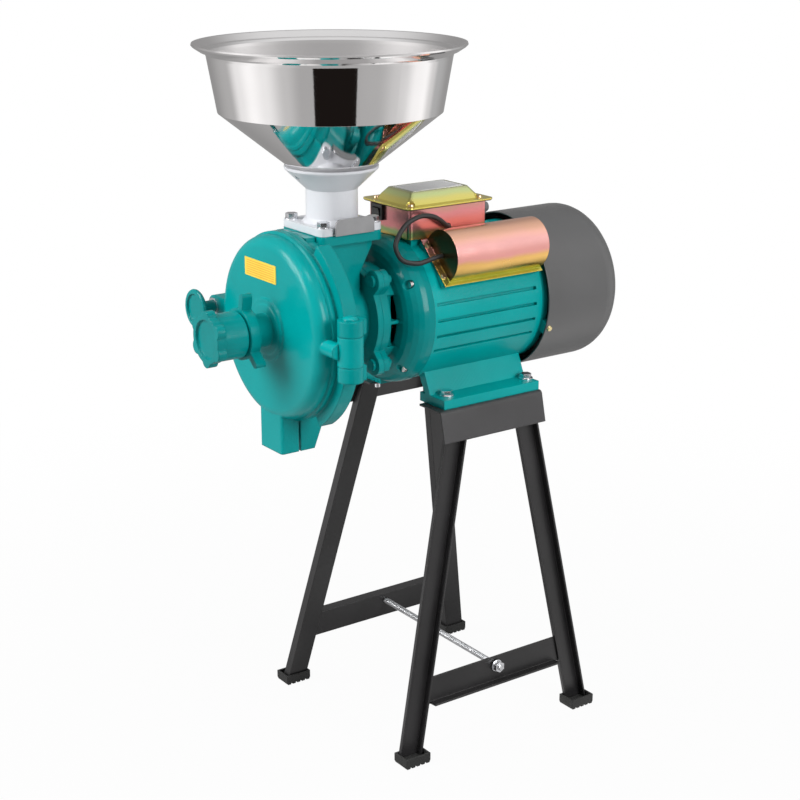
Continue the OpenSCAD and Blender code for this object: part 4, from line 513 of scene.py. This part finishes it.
# ---- capacitor and its cover -------------------------------------------------------------------
# A black canister under a rolled chromate cover, pink above and golden below, screwed to the frame's
# flat. The faces of the cover's front end are painted dark brown: painted shade.
canister_black = surface("canister_black", (0.015, 0.015, 0.016), (0.022, 0.022, 0.023), (0.06, 0.06, 0.06),
                         0.4, patches=40.0, grains=900.0, bump=0.00005)
wears(canister_black, "capacitor")
cover_axis = (0.10, 0.0, 1.0)
cover_low, cover_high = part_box("capacitor_cover")
cover_bands = ((0.0, (0.85, 0.64, 0.13)), (0.12, (0.50, 0.52, 0.10)), (0.26, (0.52, 0.34, 0.08)),
               (0.42, (0.86, 0.52, 0.16)), (0.56, (0.92, 0.42, 0.38)), (0.78, (0.95, 0.50, 0.47)),
               (1.0, (0.92, 0.52, 0.36)))
cover_bands_start = cover_low.z + 0.008
cover_bands_end = cover_high.z + 0.004
cover_film = chromate("cover_film", cover_axis, cover_bands_start, cover_bands_end, cover_bands, 0.14)
cover_tree = cover_film.node_tree
cover_base = cover_tree.nodes["Principled BSDF"].inputs["Base Color"]
# Faces turned to the front are painted dark brown: painted shade on the cover's front end.
forward = (0.0, -1.0, 0.0)
end_turned, end_facing = 0.7, 0.9
end_shade_brown = (0.09, 0.07, 0.03)
cover_faces = made(cover_tree, "ShaderNodeNewGeometry").outputs["Normal"]
cover_end = spread(cover_tree, dotted(cover_tree, cover_faces, forward), end_turned, end_facing)
cover_end_shaded = mixed(cover_tree, cover_end, cover_base.links[0].from_socket, end_shade_brown)
cover_tree.links.new(cover_end_shaded, cover_base)
wears(cover_film, "capacitor_cover")
cap_screw_gold = surface("cap_screw_gold", (0.64, 0.42, 0.26), (0.74, 0.56, 0.34), (0.88, 0.8, 0.6), 0.26,
                         **small_screw)
wears(cap_screw_gold, "capacitor_screws")

# ---- capacitor lead ----------------------------------------------------------------------------
# Black sleeved wires in one loop from the terminal box into the cover's front end.
sleeve_black = surface("sleeve_black", (0.010, 0.010, 0.010), (0.016, 0.016, 0.016), (0.04, 0.04, 0.04), 0.45,
                       radius=0.0008, patches=60.0, grains=1300.0, bump=0.00006)
wears(sleeve_black, "capacitor_lead")

# ---- mill housing ------------------------------------------------------------------------------
# The fixed half of the grinding chamber with feed barrel, duct, saddle and hinge arms: one teal
# casting, bolted to the motor's flange.
# The same teal paint as the other castings, at a brightness of its own for the housing: painted light and
# shade.
housing_teal = surface("housing_teal", (0.0, 0.245, 0.243), (0.0, 0.300, 0.297), (0.04, 0.52, 0.51), 0.24,
                       radius=0.003, patches=12.0, grains=240.0, bump=0.0001, wear=0.3, **glossy_teal)
wears(housing_teal, "mill_housing")
# The flange bolts take the bell's darker teal, with its painted shade.
wears(bell_teal, "flange_bolts")

# ---- auger and grinding discs ------------------------------------------------------------------
# A steel screw that pushes grain forward, between a fixed disc in the housing and a disc on the shaft.
auger_steel = surface("auger_steel", (0.40, 0.40, 0.41), (0.52, 0.52, 0.53), (0.75, 0.75, 0.75), 0.34,
                      metallic=1.0, patches=50.0, grains=500.0, bump=0.0001)
wears(auger_steel, "feed_auger")
disc_iron = surface("disc_iron", (0.14, 0.14, 0.145), (0.22, 0.22, 0.225), (0.6, 0.6, 0.6), 0.46,
                    metallic=0.9, radius=0.0008, patches=40.0, grains=350.0, bump=0.0002, wear=0.9)
wears(disc_iron, "fixed_disc", "rotating_disc")
wears(screw_zinc, "disc_screws")

# ---- front cover and hinge pin -----------------------------------------------------------------
# The round door of the chamber in the same teal, with its threaded neck, clamp lug, hinge knuckle and
# the front half of the spout. The pin is painted with it.
# The same teal paint as the other castings, at a brightness of its own for the door: painted light and shade.
door_teal = surface("door_teal", (0.0, 0.275, 0.273), (0.0, 0.325, 0.322), (0.04, 0.52, 0.51), 0.24,
                    radius=0.003, patches=9.0, grains=260.0, bump=0.00009, wear=0.3, **glossy_teal)
wears(door_teal, "front_cover", "hinge_pin")

# ---- cover label -------------------------------------------------------------------------------
# A yellow film plate with rows of plain orange lines, stuck to the door.
label_film = surface("label_film", (0.88, 0.62, 0.05), (0.90, 0.66, 0.08), (0.9, 0.7, 0.2), 0.32,
                     radius=0.0002, patches=60.0, grains=1200.0, bump=0.00001, wear=0.2)
printed(label_film, "cover_label", "X", "Z", margins=(0.004, 0.0022), pitch=0.0027, share=0.34,
        ink=(0.75, 0.22, 0.02), strength=0.75)
wears(label_film, "cover_label")

# ---- adjusting knob, lock ring and thrust pin --------------------------------------------------
# A lobed hand-knob on the adjusting screw, a ring nut with three lugs that locks it, and the steel
# pin that it pushes towards the shaft.
# The same teal paint, set darker here for the knobs and the lock ring: painted shade.
knob_teal = surface("knob_teal", (0.0, 0.215, 0.213), (0.0, 0.265, 0.262), (0.04, 0.46, 0.45), 0.22,
                    radius=0.0022, patches=20.0, grains=300.0, bump=0.00008, wear=0.35, **glossy_teal)
wears(knob_teal, "adjusting_knob", "lock_ring")
wears(shaft_steel, "thrust_pin")

# ---- clamp hand-knob and washer ----------------------------------------------------------------
# A dished hand-knob whose screw holds the door shut, on a zinc washer.
# The clamp knob takes the same darker teal, with its painted shade.
wears(knob_teal, "clamp_knob")
wears(nut_zinc, "clamp_washer")

# ---- inlet neck and its bolts ------------------------------------------------------------------
# A smooth white-painted casting that carries the hopper, bolted to the saddle.
neck_white = surface("neck_white", (0.66, 0.67, 0.70), (0.72, 0.73, 0.76), (0.55, 0.55, 0.55), 0.34, coat=0.2,
                     radius=0.0015, patches=18.0, grains=500.0, bump=0.00008, wear=0.25)
wears(neck_white, "inlet_neck")
wears(bolt_zinc, "neck_bolts")

# ---- feed gate ---------------------------------------------------------------------------------
# A plain steel slide with an upturned tab, in a slot under the neck's foot.
gate_steel = surface("gate_steel", (0.24, 0.24, 0.245), (0.30, 0.30, 0.305), (0.6, 0.6, 0.6), 0.42,
                     metallic=0.6, radius=0.0006, patches=30.0, grains=1100.0, bump=0.00004)
wears(gate_steel, "feed_gate")

# ---- hopper ------------------------------------------------------------------------------------
# A spun bowl of stainless sheet with a rolled rim, which sits in the neck's cup. It is polished like a
# mirror outside and satin inside.
mirror_rough, satin_rough = 0.055, 0.3
polish_blend = 0.02
hopper_steel = surface("hopper_steel", (0.80, 0.79, 0.79), (0.84, 0.83, 0.83), (0.9, 0.9, 0.9), mirror_rough,
                       metallic=1.0, radius=0.0006, patches=12.0, grains=500.0, bump=0.000004, wear=0.2)
hopper_tree = hopper_steel.node_tree
hopper_place = made(hopper_tree, "ShaderNodeTexCoord").outputs["Object"]
hopper_away = made(hopper_tree, "ShaderNodeVectorMath", {0: hopper_place, 1: hopper_axis},
                   operation="SUBTRACT").outputs[0]
hopper_level = made(hopper_tree, "ShaderNodeVectorMath", {0: hopper_away, 1: (1.0, 1.0, 0.0)},
                    operation="MULTIPLY").outputs[0]
hopper_faces = made(hopper_tree, "ShaderNodeNewGeometry").outputs["Normal"]
hopper_side = dotted(hopper_tree, hopper_level, hopper_faces)
hopper_gloss = spread(hopper_tree, hopper_side, -polish_blend, polish_blend, satin_rough, mirror_rough)
hopper_tree.links.new(hopper_gloss, hopper_tree.nodes["Principled BSDF"].inputs["Roughness"])
wears(hopper_steel, "hopper")
